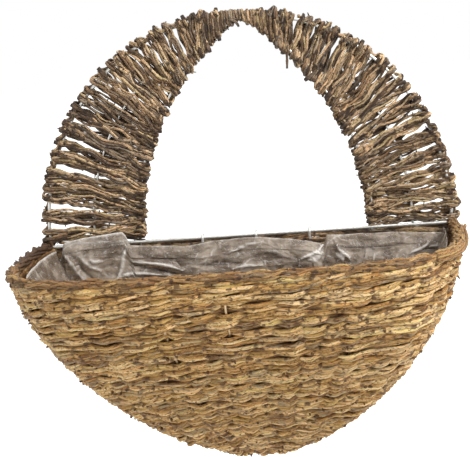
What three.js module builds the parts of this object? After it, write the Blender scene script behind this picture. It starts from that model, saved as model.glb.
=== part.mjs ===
// Half-round wall basket: a flat woven back that rises into a pointed carrying arch, a woven bowl in front,
// a twisted rim, a wire frame inside the weave and a film liner in the bowl.
// Millimetres, +Z up, the wall is behind at +Y and the bowl swells towards -Y.
// The origin is the hook seat, the underside of the binding at the arch's peak.
import * as THREE from "three";
import { mergeVertices } from "three/addons/utils/BufferGeometryUtils.js";

// Wires
const frameWireRadius = 1.6;
const ribWireRadius = 1.25;
const clearance = 0.45;

// Back hoop and arch, measured from the middle of the rail
const hoopRadius = 188;
const hoopRise = 192;
const hoopCentreHeight = 13;
const innerArchHalfWidth = 109.5;
const innerArchOffset = 6.5;

// Bowl, measured to the middle of its weave. It swells sideways past the hoop's width.
const leftSwell = 10.3;
const rightSwell = 3.3;
const bowlDepth = 208;
const bowlWaist = 60;
const bowlHeight = 205.3;

// Weave
const strandDepth = 3.6;
const rowPitch = 8.8;
const widestPitch = 13;
const archPitch = 8.9;
const rowGap = 0.9;
const stubLength = 5.5;

// Rope border and peak binding
const ropeStrandRadius = 2.1;
const bindingWidth = 48;
const bindingPitch = 6;

// Back uprights
const uprightSpacing = 50;
const hookTail = 4;
const wallSeatLength = 8;

// Liner
const linerInset = 9.8;
const linerThickness = 1.2;
const linerFrontDrop = 3;
const linerFlapRise = 12;
const linerFoldDepth = 8;

// Counts
const frontWeavers = 8;
const backWeavers = 5;
const archWeavers = 5;
const ribsEachSide = 6;
const ribSteps = 10;
const halfTwistsPerRib = 3;
const hoopUpperSteps = 40;
const hoopLowerSteps = 11;
const bindingPoints = 6;
const pointsPerHalfTwist = 3;
const planSteps = 180;
const rimPlanSteps = 100;
const rimSteps = 40;
const lengthDivisions = 2000;
const innerCurveSteps = 40;
const archWireSteps = 16;
const uprightBends = 4;
const uprightFolds = 11;
const slantedFolds = 7;
const linerSides = 64;
const linerSteps = 10;

// Shape shares, without units
const leftCornerExponent = 4.4;
const rightCornerExponent = 3.8;
const widthExponent = 1.55;
const depthExponent = 1.36;
const innerArchHeightPower = 2.176;
const innerArchWidthPower = 0.846;
const innerLeanShare = 0.35;
const flatShare = 0.55;
const lowestLevelShare = 0.985;
const lowestBackShare = 0.88;
const shortRibShare = 0.87;
const chordShare = 0.0074;
const turnSpanShare = 1.45;
const narrowSpanShare = 3.8;
const obliqueShare = 0.8;
const wideSpanShare = 2.9;
const steepestShare = 0.9;
const slopeStepShare = 0.004;
const linerMiddleShare = 0.42;

const halfDepth = strandDepth / 2;
const hookRadius = frameWireRadius + clearance + ribWireRadius;
const railSetback = 2 * frameWireRadius + clearance;
const uprightSetback = railSetback - hookRadius;
const rimSetback = railSetback + frameWireRadius + clearance;
const wireReach = (wireRadius) => wireRadius + clearance + halfDepth;
const ribTurnReach = swing(ribWireRadius, turnSpanShare * rowPitch);
const backReach = swing(frameWireRadius, narrowSpanShare * obliqueShare * wireReach(frameWireRadius));
const backWeaveReach = backReach + halfDepth;
const rowOverhang = Math.max(ribTurnReach + halfDepth, stubLength);
const endRibSetback = backWeaveReach + 2 * clearance + rowOverhang;
const twistStep = Math.PI / pointsPerHalfTwist;
const ropeReach = (frameWireRadius + clearance + ropeStrandRadius) / Math.cos(twistStep / 2);
const firstRowDrop = ropeReach + ropeStrandRadius + clearance + rowPitch / 2;
const hoopHalfWidth = hoopRadius * Math.sqrt(1 - (hoopCentreHeight / hoopRise) ** 2);
const innerTipHeight = hoopCentreHeight + hoopRise - frameWireRadius - clearance - ribWireRadius;
const innerTipHalfGap = ribWireRadius + clearance / 2;

const up = new THREE.Vector3(0, 0, 1);
const towardsWall = new THREE.Vector3(0, 1, 0);
const basket = new THREE.Group();

function material(color, roughness, metalness) {
  return new THREE.MeshStandardMaterial({ color, roughness, metalness });
}

const wireMaterial = () => material(0xb9bab6, 0.35, 0.9);
const bowlTwigMaterial = () => material(0xa9824f, 0.85, 0);
const archTwigMaterial = () => material(0x6f5f4e, 0.9, 0);
const ropeMaterial = () => material(0x8f6a3f, 0.85, 0);
const filmMaterial = () => material(0xc9c6bf, 0.25, 0);

function add(name, geometry, meshMaterial) {
  const mesh = new THREE.Mesh(geometry, meshMaterial);
  mesh.name = name;
  basket.add(mesh);
}

// A path through stations. Each station holds its point, the direction that the section's width follows
// there, half the section's width and half its depth.
class StationPath extends THREE.Curve {
  constructor(stations) {
    super();
    this.stations = stations;
  }

  getPoint(share) {
    const place = share * (this.stations.length - 1);
    const first = Math.min(Math.floor(place), this.stations.length - 2);
    const [from, to] = [this.stations[first].point, this.stations[first + 1].point];
    return from.clone().lerp(to, place - first);
  }

  getPointAt(share) {
    return this.getPoint(share);
  }

  tangentAt(index) {
    const points = this.stations.map((station) => station.point);
    const tangent = new THREE.Vector3();
    if (index > 0) tangent.add(points[index].clone().sub(points[index - 1]).normalize());
    if (index < points.length - 1) tangent.add(points[index + 1].clone().sub(points[index]).normalize());
    return tangent.normalize();
  }

  computeFrenetFrames() {
    const frames = { tangents: [], normals: [], binormals: [] };
    this.stations.forEach((station, index) => {
      const tangent = this.tangentAt(index);
      const across = station.across.clone();
      across.addScaledVector(tangent, -across.dot(tangent)).normalize();
      frames.tangents.push(tangent);
      frames.normals.push(across.clone().cross(tangent).multiplyScalar(station.halfDepth));
      frames.binormals.push(across.multiplyScalar(station.halfWidth));
    });
    return frames;
  }
}

// Sections of unit half depth and half width: a round one for wire, a flattened one for a strand of twigs.
function roundSection(sides) {
  const corners = Array.from({ length: sides }, (_, i) => {
    const angle = (2 * Math.PI * i) / sides;
    return new THREE.Vector2(Math.cos(angle), Math.sin(angle));
  });
  return new THREE.Shape(corners);
}

function flatSection() {
  const corners = [
    [1, -flatShare],
    [1, flatShare],
    [0, 1],
    [-1, flatShare],
    [-1, -flatShare],
    [0, -1],
  ];
  return new THREE.Shape(corners.map(([depth, width]) => new THREE.Vector2(depth, width)));
}

function sweep(stations, section) {
  const extrudePath = new StationPath(stations);
  return new THREE.ExtrudeGeometry(section, { steps: stations.length - 1, extrudePath });
}

function wire(points, radius, across, sides = 6) {
  const stations = points.map((point) => ({ point, across, halfWidth: radius, halfDepth: radius }));
  return sweep(stations, roundSection(sides));
}

// The superellipse that the bowl narrows along as it goes down, as a share of its size at the rim.
function narrowing(level, exponent) {
  return (1 - level ** exponent) ** (1 / exponent);
}

function swellOn(side) {
  return side < 0 ? leftSwell : rightSwell;
}

// One side of the rim's plan, from the given setback off the wall to the middle of the front. It swells past
// the hoop's width as far as the waist, and a rounded corner follows.
function planSide(side, setback, samples) {
  const halfWidth = hoopHalfWidth + swellOn(side);
  const cornerPower = 2 / (side < 0 ? leftCornerExponent : rightCornerExponent);
  const points = [];
  for (let i = 0; i < samples; i += 1) {
    const behind = (bowlWaist - setback) * (1 - i / samples);
    const x = halfWidth - swellOn(side) * (behind / bowlWaist) ** 2;
    points.push(new THREE.Vector3(side * x, behind - bowlWaist, 0));
  }
  for (let i = 0; i <= samples; i += 1) {
    const angle = ((Math.PI / 2) * i) / samples;
    const x = halfWidth * Math.cos(angle) ** cornerPower;
    const y = -bowlWaist - (bowlDepth - bowlWaist) * Math.sin(angle) ** cornerPower;
    points.push(new THREE.Vector3(side * x, y, 0));
  }
  return points;
}

// The rim's plan: a boxy half round from the left end to the right one.
function planCurve(setback, samplesEachPart) {
  const [left, right] = [-1, 1].map((side) => planSide(side, setback, samplesEachPart));
  return [...left, ...right.toReversed().slice(1)];
}

const planSamples = planCurve(endRibSetback, planSteps);
const planLengths = planSamples.reduce((lengths, point, i) => {
  const step = i ? point.distanceTo(planSamples[i - 1]) : 0;
  lengths.push((lengths.at(-1) ?? 0) + step);
  return lengths;
}, []);

// The plan's point at a share of its length, from the left end rib to the right one.
function planAt(share) {
  const length = Math.min(Math.max(share, 0), 1) * planLengths.at(-1);
  const next = Math.max(1, planLengths.findIndex((value) => value >= length));
  const step = planLengths[next] - planLengths[next - 1];
  return planSamples[next - 1].clone().lerp(planSamples[next], (length - planLengths[next - 1]) / step);
}

function bowlPoint(share, level) {
  const plan = planAt(share);
  const x = plan.x * narrowing(level, widthExponent);
  const y = -endRibSetback + (plan.y + endRibSetback) * narrowing(level, depthExponent);
  return new THREE.Vector3(x, y, -bowlHeight * level);
}

// Directions on the bowl: along a row to the right, up the wall, and out of the bowl.
function bowlFrame(share, level) {
  const left = bowlPoint(Math.max(share - slopeStepShare, 0), level);
  const right = bowlPoint(Math.min(share + slopeStepShare, 1), level);
  const above = bowlPoint(share, Math.max(level - slopeStepShare, 0));
  const below = bowlPoint(share, Math.min(level + slopeStepShare, 1));
  const along = right.sub(left).normalize();
  const upward = above.sub(below).normalize();
  return { along, upward, face: along.clone().cross(upward).normalize() };
}

// How far a strand's middle swings out where it passes a wire, so that it still clears the wire on its way
// across.
function swing(wireRadius, span) {
  const reach = wireReach(wireRadius);
  const steepness = Math.min((2 * reach) / span, steepestShare);
  return reach / Math.sqrt(1 - steepness ** 2);
}

// One strand that goes to and fro over several rows. A row lists its stops from left to right, and the
// strand changes sides at every stop that crosses a wire. Both end stops cross, and the strand turns round
// them. A stop with a seat length lies flat for that length where the strand passes behind the wire.
function serpentine(rows, startSide) {
  const stations = [];
  let side = startSide;
  const put = (stop, point) => {
    stations.push({ point, across: stop.upward, halfWidth: stop.halfWidth, halfDepth });
  };
  const beside = (stop, out, reach) => {
    return stop.centre.clone().addScaledVector(stop.out, out).addScaledVector(stop.face, reach);
  };
  rows.forEach((row, index) => {
    const stops = index % 2 ? row.toReversed() : row;
    if (index === 0) put(stops[0], beside(stops[0], stubLength, side * stops[0].reach));
    for (const stop of stops) {
      if (!stop.crosses) {
        put(stop, stop.centre.clone());
        continue;
      }
      const halfSeat = stop.seatLength && side < 0 ? stop.seatLength / 2 : 0;
      const onward = index % 2 ? -1 : 1;
      for (const shift of halfSeat ? [-halfSeat * onward, halfSeat * onward] : [0]) {
        put(stop, beside(stop, shift, side * stop.reach));
      }
      side = -side;
    }
    const last = stops.at(-1);
    if (index === rows.length - 1) {
      put(last, beside(last, stubLength, -side * last.reach));
      return;
    }
    const next = index % 2 ? rows[index + 1][0] : rows[index + 1].at(-1);
    for (const [share, turnSide] of [[1 / 3, -side], [2 / 3, side]]) {
      const stop = { ...last, centre: last.centre.clone().lerp(next.centre, share) };
      put(stop, beside(stop, stop.turnReach, turnSide * stop.turnReach));
    }
  });
  return sweep(stations, flatSection());
}

// Rows shared out between a number of weavers, as evenly as they go.
function shareOut(rows, weavers) {
  const firstRow = (index) => Math.round((index * rows.length) / weavers);
  return Array.from({ length: weavers }, (_, index) => rows.slice(firstRow(index), firstRow(index + 1)));
}

// The left side of the hoop's lower half, from the rail down to the butt joint at the bottom.
const hoopLower = [];
for (let i = 0; i <= hoopLowerSteps; i += 1) {
  const level = Math.sin((Math.PI / 2) * (i / hoopLowerSteps));
  const x = Math.max(hoopHalfWidth * narrowing(level, widthExponent), clearance / 2);
  hoopLower.push(new THREE.Vector3(-x, 0, -bowlHeight * level));
}

// The hoop's half width at a drop below the rail, read along its bent wire.
function hoopHalfWidthAt(drop) {
  const next = Math.max(1, hoopLower.findIndex((point) => -point.z >= drop));
  const [above, below] = [hoopLower[next - 1], hoopLower[next]];
  return -above.x + ((below.x - above.x) * (drop + above.z)) / (below.z - above.z);
}

// Height at which a wire going down at the given distance from the middle is welded to the hoop.
function hoopFoot(x) {
  const next = hoopLower.findIndex((point) => -point.x <= Math.abs(x));
  const [above, below] = [hoopLower[next - 1], hoopLower[next]];
  const slope = (below.z - above.z) / (below.x - above.x);
  const height = above.z + slope * (-Math.abs(x) - above.x);
  return height + frameWireRadius * Math.hypot(1, slope) + ribWireRadius * Math.abs(slope) + clearance;
}

function backHoop() {
  const upperStart = Math.asin(-hoopCentreHeight / hoopRise);
  const points = hoopLower.toReversed();
  for (let i = 1; i < hoopUpperSteps; i += 1) {
    points.push(archOuter(-1, upperStart + ((Math.PI - 2 * upperStart) * i) / hoopUpperSteps));
  }
  for (const point of hoopLower) points.push(new THREE.Vector3(-point.x, 0, point.z));
  add("back_hoop_wire", wire(points, frameWireRadius, towardsWall), wireMaterial());
}

// A point of the hoop above the rail, by its angle up from level on the given side.
function archOuter(side, angle) {
  const height = hoopCentreHeight + hoopRise * Math.sin(angle);
  return new THREE.Vector3(side * hoopRadius * Math.cos(angle), 0, height);
}

// A point of the inner arch wire, by its height above the rail.
function archInnerAtHeight(side, height) {
  const openness = (1 - (height / innerTipHeight) ** innerArchHeightPower) ** innerArchWidthPower;
  const reach = innerTipHalfGap + (innerArchHalfWidth - innerTipHalfGap) * openness;
  return new THREE.Vector3(innerArchOffset + side * reach, 0, height);
}

// The inner arch wire sampled by length, so that rows are evenly spaced along it.
function innerCurve(side, samples) {
  const heights = Array.from({ length: samples + 1 }, (_, i) => {
    return innerTipHeight * Math.sin((Math.PI / 2) * (i / samples));
  });
  return new THREE.SplineCurve(
    heights.map((height) => {
      const point = archInnerAtHeight(side, height);
      return new THREE.Vector2(point.x, point.z);
    }),
  );
}

const innerCurves = { [-1]: innerCurve(-1, innerCurveSteps), [1]: innerCurve(1, innerCurveSteps) };

function archInner(side, share) {
  const point = innerCurves[side].getPointAt(Math.min(Math.max(share, 0), 1));
  return new THREE.Vector3(point.x, 0, point.y);
}

const archFirstRow = frameWireRadius + clearance + archPitch / 2;
const archStartAngle = Math.asin((archFirstRow - hoopCentreHeight) / hoopRise);
const archStartShare = archFirstRow / innerCurves[1].getLength();

// Where a row at a share of the way up the arch meets the outer and the inner wire.
function archEnds(side, share) {
  const peakAngle = Math.PI / 2 - side * Math.asin(innerArchOffset / hoopRadius);
  const outer = archOuter(side, archStartAngle + (peakAngle - archStartAngle) * share);
  const innerShare = share - innerLeanShare * share ** 4 * (1 - share);
  const inner = archInner(side, archStartShare + (1 - archStartShare) * innerShare);
  return { outer, inner, middle: outer.clone().lerp(inner, 1 / 2) };
}

function archRowShares() {
  const length = (Math.PI / 2 - archStartAngle) * hoopRadius;
  const last = 1 - (bindingWidth / 2 + bindingPitch / 2 + archPitch + 2 * clearance) / length;
  const count = Math.floor((last * length) / archPitch) + 1;
  return Array.from({ length: count }, (_, i) => (last * i) / (count - 1));
}

function archRow(side, share, shareStep) {
  const { outer, inner, middle } = archEnds(side, share);
  const next = archEnds(side, Math.min(share + shareStep, 1));
  const before = archEnds(side, Math.max(share - shareStep, 0));
  const towardsInner = inner.clone().sub(outer).normalize();
  const upward = next.middle.clone().sub(before.middle);
  upward.addScaledVector(towardsInner, -upward.dot(towardsInner)).normalize();
  const width = outer.distanceTo(inner);
  const three = width / 2 > wideSpanShare * wireReach(ribWireRadius);
  const span = three ? width / 2 : width * obliqueShare;
  const halfWidthAt = (place) => {
    const spread = Math.min(next[place].distanceTo(archEnds(side, share)[place]), archPitch);
    return (spread - rowGap) / 2;
  };
  const stop = (place, centre, wireRadius, out) => ({
    centre,
    upward,
    out,
    crosses: true,
    face: towardsWall.clone().negate(),
    reach: swing(wireRadius, span),
    turnReach: swing(wireRadius, turnSpanShare * archPitch),
    halfWidth: halfWidthAt(place),
  });
  const stops = [
    stop("outer", outer, frameWireRadius, towardsInner.clone().negate()),
    stop("inner", inner, ribWireRadius, towardsInner),
  ];
  if (three) stops.splice(1, 0, stop("middle", middle, ribWireRadius, towardsInner));
  return { stops, three, share, width };
}

function archSide(side, sideName) {
  const shares = archRowShares();
  const rows = shares.map((share) => archRow(side, share, shares[1]));
  const wideRows = rows.filter((row) => row.three);
  const leastWidth = narrowSpanShare * wireReach(ribWireRadius);
  const wovenRows = rows.filter((row) => row.three || row.width > leastWidth);
  shareOut(wovenRows, archWeavers).forEach((group, index) => {
    const geometry = serpentine(group.map((row) => row.stops), index % 2 ? 1 : -1);
    add(`${sideName}_arch_weaver_${index + 1}`, geometry, archTwigMaterial());
  });
  archWire(side, `${sideName}_middle_arch_wire`, "middle", wideRows.at(-1).share);
  archWire(side, `${sideName}_inner_arch_wire`, "inner", 1);
}

// An arch wire and its leg, which runs down the back panel and is welded to the hoop.
function archWire(side, name, place, lastShare) {
  const foot = archEnds(side, 0)[place];
  const leg = new THREE.Vector3(foot.x, 0, hoopFoot(foot.x));
  const points = [leg, new THREE.Vector3(foot.x, 0, 0)];
  for (let i = 0; i <= archWireSteps; i += 1) {
    points.push(archEnds(side, (lastShare * i) / archWireSteps)[place]);
  }
  add(name, wire(points, ribWireRadius, towardsWall), wireMaterial());
}

// Uprights stand on the hoop and are hooked over the rail.
function backUprights() {
  const names = ["left", "middle", "right"];
  names.forEach((name, index) => {
    const x = innerArchOffset + (index - 1) * uprightSpacing;
    const points = [new THREE.Vector3(x, -uprightSetback, hoopFoot(x))];
    for (let i = 0; i <= uprightBends; i += 1) {
      const angle = (Math.PI * i) / uprightBends;
      const radius = hookRadius / (i % uprightBends ? Math.cos(Math.PI / (2 * uprightBends)) : 1);
      const y = -railSetback + radius * Math.cos(angle);
      points.push(new THREE.Vector3(x, y, radius * Math.sin(angle)));
    }
    points.push(new THREE.Vector3(x, -railSetback - hookRadius, -hookTail));
    const geometry = wire(points, ribWireRadius, new THREE.Vector3(1, 0, 0), 5);
    add(`${name}_back_upright`, geometry, wireMaterial());
  });
}

function rail() {
  const end = hoopHalfWidth + frameWireRadius;
  const points = [-1, 1].map((side) => new THREE.Vector3(side * end, -railSetback, 0));
  add("back_rail", wire(points, frameWireRadius, towardsWall), wireMaterial());
}

// Places across the back panel where a wire runs down, each with its distance in front of the hoop's plane.
function backWarps() {
  const warps = [-1, 0, 1].map((index) => {
    return { x: innerArchOffset + index * uprightSpacing, setback: uprightSetback };
  });
  for (const side of [-1, 1]) {
    const { inner, middle } = archEnds(side, 0);
    warps.push({ x: inner.x, setback: 0 }, { x: middle.x, setback: 0 });
  }
  return warps.sort((a, b) => a.x - b.x);
}

// How far a row reaches to one side: to just inside the hoop, or to just inside a wire that it can't pass.
function backRowEnd(side, drop, warps) {
  const open = hoopHalfWidthAt(drop + rowPitch / 2) - frameWireRadius - clearance - rowOverhang;
  const blocking = warps.filter(({ x }) => x * side > open - 3 * wireReach(ribWireRadius));
  const limits = blocking.map(({ x }) => x * side - ribWireRadius - clearance - rowOverhang);
  return side * Math.min(open, ...limits);
}

function backRow(drop, warps) {
  const ends = [-1, 1].map((side) => ({ x: backRowEnd(side, drop, warps), setback: 0 }));
  const least = 3 * wireReach(ribWireRadius);
  const inside = warps.filter(({ x }) => x > ends[0].x + least && x < ends[1].x - least);
  const places = [ends[0], ...inside, ends[1]];
  return places.map(({ x, setback }, index) => {
    return {
      centre: new THREE.Vector3(x, -setback, -drop),
      upward: up,
      out: new THREE.Vector3(index ? 1 : -1, 0, 0),
      face: towardsWall.clone().negate(),
      crosses: true,
      reach: backReach,
      turnReach: ribTurnReach,
      seatLength: index && index < places.length - 1 ? wallSeatLength : 0,
      halfWidth: (rowPitch - rowGap) / 2,
    };
  });
}

// Rows of the back panel, woven round the uprights and the legs of the arch wires, and turned inside the
// hoop.
function backPanel() {
  const warps = backWarps();
  const rows = [];
  for (let drop = firstRowDrop; drop < bowlHeight * lowestBackShare; drop += rowPitch) {
    rows.push(backRow(drop, warps));
  }
  shareOut(rows, backWeavers).forEach((group, index) => {
    add(`back_weaver_${index + 1}`, serpentine(group, index % 2 ? 1 : -1), archTwigMaterial());
  });
}

// Front ribs hang from the rim wire and run down inside the weave. Every second one stops short of the
// bottom, where the ribs come close together.
function ribShare(index) {
  return (index + ribsEachSide) / (2 * ribsEachSide);
}

// A rib ends halfway between two rows.
function ribEnd(index) {
  const lastShort = frontLevels.findIndex((level) => level > shortRibShare);
  const place = (index + ribsEachSide) % 2 ? lastShort : frontLevels.length;
  const [above, below] = [frontLevels[place - 2], frontLevels[place - 1]];
  return below + (below - above) / 2;
}

function ribPoints(index) {
  const top = (frameWireRadius + clearance) / bowlHeight;
  return Array.from({ length: ribSteps + 1 }, (_, i) => {
    const level = top + (ribEnd(index) - top) * Math.sin((Math.PI / 2) * (i / ribSteps));
    return bowlPoint(ribShare(index), level);
  });
}

// The middle of a rib's bent wire at a level of the bowl.
function ribCentre(index, level) {
  const points = ribPoints(index);
  const next = Math.max(1, points.findIndex((point) => -point.z >= bowlHeight * level));
  const [above, below] = [points[next - 1], points[next]];
  return above.clone().lerp(below, (bowlHeight * level + above.z) / (above.z - below.z));
}

function frontRibs() {
  for (let index = -ribsEachSide; index <= ribsEachSide; index += 1) {
    const { along } = bowlFrame(ribShare(index), 1 / 2);
    const geometry = wire(ribPoints(index), ribWireRadius, along, 5);
    add(`front_rib_${index + ribsEachSide + 1}`, geometry, wireMaterial());
  }
}

// Levels of the front rows: even in height at first, then closer where the wall leans in.
function frontRowLevels() {
  const levels = [];
  let level = firstRowDrop / bowlHeight;
  while (level < lowestLevelShare) {
    levels.push(level);
    const drop = rowPitch / bowlHeight;
    const next = Math.min(level + drop, 1);
    const spread = [0, 1 / 2].map((share) => bowlPoint(share, level).distanceTo(bowlPoint(share, next)));
    const widest = (spread[0] + spread[1]) / 2;
    level += drop * Math.min(1, widestPitch / widest);
  }
  return levels;
}

const frontLevels = frontRowLevels();

function frontRow(level, index) {
  const active = [];
  for (let rib = -ribsEachSide; rib <= ribsEachSide; rib += 1) {
    if (ribEnd(rib) > level) active.push(rib);
  }
  const widthAt = (share) => {
    const here = bowlPoint(share, level);
    const above = index ? frontLevels[index - 1] : level - rowPitch / bowlHeight;
    const below = frontLevels[index + 1] ?? Math.min(2 * level - above, 1);
    const spread = Math.min(...[above, below].map((other) => here.distanceTo(bowlPoint(share, other))));
    return (spread - rowGap) / 2;
  };
  const stops = [];
  active.forEach((rib, place) => {
    const share = ribShare(rib);
    const centre = ribCentre(rib, level);
    const neighbours = [active[place - 1], active[place + 1]].filter((other) => other !== undefined);
    const span = Math.min(...neighbours.map((other) => centre.distanceTo(ribCentre(other, level))));
    const { along, upward, face } = bowlFrame(share, level);
    stops.push({
      centre,
      upward,
      face,
      out: along.multiplyScalar(share ? 1 : -1),
      crosses: true,
      reach: swing(ribWireRadius, span),
      turnReach: ribTurnReach,
      halfWidth: widthAt(share),
    });
    if (place === active.length - 1) return;
    const halfway = (share + ribShare(active[place + 1])) / 2;
    const middle = bowlPoint(halfway, level);
    const chord = centre.clone().add(ribCentre(active[place + 1], level)).divideScalar(2);
    if (middle.distanceTo(chord) < chordShare * bowlDepth) return;
    stops.push({
      centre: middle,
      upward: bowlFrame(halfway, level).upward,
      crosses: false,
      halfWidth: widthAt(halfway),
    });
  });
  return stops;
}

function frontPanel() {
  const rows = frontLevels.map(frontRow);
  shareOut(rows, frontWeavers).forEach((group, index) => {
    add(`front_weaver_${index + 1}`, serpentine(group, index % 2 ? 1 : -1), bowlTwigMaterial());
  });
}

function rimWire() {
  const path = new THREE.CatmullRomCurve3(planCurve(rimSetback, rimPlanSteps));
  path.arcLengthDivisions = lengthDivisions;
  add("rim_wire", wire(path.getSpacedPoints(rimSteps), frameWireRadius, up), wireMaterial());
}

// Two strands twisted round the rim wire. Each passes beside a rib, never under the wire there.
function ropeBorder() {
  const halfTwists = 2 * ribsEachSide * halfTwistsPerRib;
  const count = halfTwists * pointsPerHalfTwist;
  ["outer", "inner"].forEach((name, strand) => {
    const stations = [];
    for (let i = 0; i <= count; i += 1) {
      const share = i / count;
      const angle = twistStep * i + Math.PI * strand;
      const { along } = bowlFrame(share, 0);
      const face = along.clone().cross(up).normalize();
      const point = planAt(share)
        .addScaledVector(face, ropeReach * Math.cos(angle))
        .addScaledVector(up, ropeReach * Math.sin(angle));
      const across = face.clone().multiplyScalar(Math.cos(angle)).addScaledVector(up, Math.sin(angle));
      stations.push({ point, across, halfWidth: ropeStrandRadius, halfDepth: ropeStrandRadius });
    }
    add(`rim_rope_strand_${name}`, sweep(stations, roundSection(5)), ropeMaterial());
  });
}

// Heights of the hoop and of the inner arch wires at a distance to the side of the peak.
function peakWires(offset) {
  const nearestTop = Math.max(0, Math.abs(innerArchOffset + offset) - bindingPitch / 2);
  const hoop = hoopCentreHeight + hoopRise * Math.sqrt(1 - (nearestTop / hoopRadius) ** 2);
  const edge = Math.abs(offset) + bindingPitch / 2;
  const openness = Math.max(0, (edge - innerTipHalfGap) / (innerArchHalfWidth - innerTipHalfGap));
  const rise = (1 - openness ** (1 / innerArchWidthPower)) ** (1 / innerArchHeightPower);
  return { hoop, inner: innerTipHeight * rise };
}

// The binding is one twig wound round the hoop and both inner wires, round at the top and bottom and
// straight between. The wall hook bears on its underside.
const bindingReach = wireReach(frameWireRadius) / Math.cos(Math.PI / bindingPoints);

function bindingHeight(offset, rise) {
  const { hoop, inner } = peakWires(offset);
  return (hoop + inner) / 2 + (Math.sign(rise) * (hoop - inner)) / 2 + rise * bindingReach;
}

function peakBinding() {
  const count = Math.round((bindingWidth / bindingPitch) * bindingPoints);
  const halfWidth = (bindingPitch - rowGap) / 2;
  const across = new THREE.Vector3(1, 0, 0);
  const stations = [];
  for (let i = 0; i <= count; i += 1) {
    const angle = -Math.PI / 2 + (2 * Math.PI * (i - count / 2)) / bindingPoints;
    const offset = bindingWidth * (i / count - 1 / 2);
    const height = bindingHeight(offset, Math.sin(angle));
    const point = new THREE.Vector3(innerArchOffset + offset, bindingReach * Math.cos(angle), height);
    stations.push({ point, across, halfWidth, halfDepth });
  }
  add("peak_binding", sweep(stations, flatSection()), archTwigMaterial());
}

const seatHeight = bindingHeight(0, -1) - halfDepth;

// The film's top edge along the back: shares of the back's half width, from left to right, each with the
// edge's height above the rail as a share of the flap's rise.
const linerEdgeShares = [
  [-1, -1],
  [-0.95, 0.3],
  [-0.65, 1],
  [-0.6, -0.1],
  [-0.3, -0.45],
  [0.05, -0.15],
  [0.37, -1],
  [0.4, -0.3],
  [1, -0.65],
];

function linerEdgeHeight(place) {
  const next = Math.max(1, linerEdgeShares.findIndex(([share]) => share >= place));
  const [[fromPlace, from], [toPlace, to]] = [linerEdgeShares[next - 1], linerEdgeShares[next]];
  return linerFlapRise * (from + ((to - from) * (place - fromPlace)) / (toPlace - fromPlace));
}

// How far the slack film folds in from the wall of the bag, at a share of the way round and at a level.
function linerFold(share, level) {
  const upright = 1 + Math.cos(2 * Math.PI * (uprightFolds * share + level));
  const slanted = 1 + Math.cos(2 * Math.PI * (slantedFolds * share - 2 * level));
  return (linerFoldDepth * Math.sin(Math.PI * level) * (upright + slanted)) / 4;
}

// The liner: a slack film bag inside the bowl, open at the top. Its rings run round the front from left to
// right and then along the back.
function linerRing(level, inset) {
  const backSetback = railSetback + hookRadius + ribWireRadius + clearance + inset - linerInset;
  const depthShare = (bowlDepth - inset - backSetback) / (bowlDepth - endRibSetback);
  const frontSides = linerSides - Math.round(linerSides / 4);
  const middle = new THREE.Vector3(0, -bowlDepth * linerMiddleShare, 0);
  const ring = [];
  for (let i = 0; i < linerSides; i += 1) {
    const onFront = i <= frontSides;
    const backShare = (i - frontSides) / (linerSides - frontSides);
    const plan = onFront ? planAt(i / frontSides) : planAt(1).lerp(planAt(0), backShare);
    const planY = plan.y + endRibSetback;
    const widthShare = 1 - inset / (hoopHalfWidth + swellOn(plan.x));
    const x = plan.x * widthShare * narrowing(level, widthExponent);
    const y = -backSetback + planY * depthShare * narrowing(level, depthExponent);
    const edge = onFront ? -linerFrontDrop : linerEdgeHeight(1 - 2 * backShare);
    const point = new THREE.Vector3(x, y, level ? -(bowlHeight - inset) * level : edge);
    const inward = onFront ? middle.clone().sub(point).setZ(0).normalize() : towardsWall.clone().negate();
    ring.push(point.addScaledVector(inward, linerFold(i / linerSides, level)));
  }
  return ring;
}

function liner() {
  const insets = [linerInset, linerInset + linerThickness];
  const levels = Array.from({ length: linerSteps + 1 }, (_, i) => {
    return lowestLevelShare * Math.sin((Math.PI / 2) * (i / linerSteps));
  });
  const [outside, inside] = insets.map((inset) => levels.map((level) => linerRing(level, inset)));
  const rings = [...outside.toReversed(), ...inside];
  const positions = [];
  const face = (...points) => points.forEach((point) => positions.push(...point.toArray()));
  rings.slice(1).forEach((ring, level) => {
    const previous = rings[level];
    ring.forEach((point, i) => {
      const next = (i + 1) % linerSides;
      face(previous[i], previous[next], ring[next]);
      face(previous[i], ring[next], point);
    });
  });
  [rings[0], rings.at(-1)].forEach((ring, end) => {
    const middle = ring.reduce((sum, point) => sum.add(point), new THREE.Vector3()).divideScalar(linerSides);
    ring.forEach((point, i) => {
      const next = ring[(i + 1) % linerSides];
      if (end) face(point, next, middle);
      else face(next, point, middle);
    });
  });
  const geometry = new THREE.BufferGeometry();
  geometry.setAttribute("position", new THREE.Float32BufferAttribute(positions, 3));
  const merged = mergeVertices(geometry);
  merged.computeVertexNormals();
  add("liner", merged, filmMaterial());
}

backHoop();
rail();
archSide(-1, "left");
archSide(1, "right");
backUprights();
backPanel();
frontRibs();
frontPanel();
rimWire();
ropeBorder();
peakBinding();
liner();

basket.position.set(-innerArchOffset, 0, -seatHeight);
const part = new THREE.Group();
part.add(basket);

export default part;
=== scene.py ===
"""Half-round woven wall basket: the visible weave, wires, rope border and film liner.

Lengths are millimetres in the basket's own frame: the rail is at height 0, the hoop lies in the plane y = 0
with its middle at x = 0, and the bowl swells towards -y. to_row() turns them into metres in the row frame,
whose origin is the hook seat at the arch's peak.

A name that ends in REACH is the length over which something changes. A value that is drawn at random is given
as a pair, its range. Where something has two sides, -1 is the left one and 1 the right one.
"""
import math

import bpy
import numpy as np
from mathutils import Matrix, Vector


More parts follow.
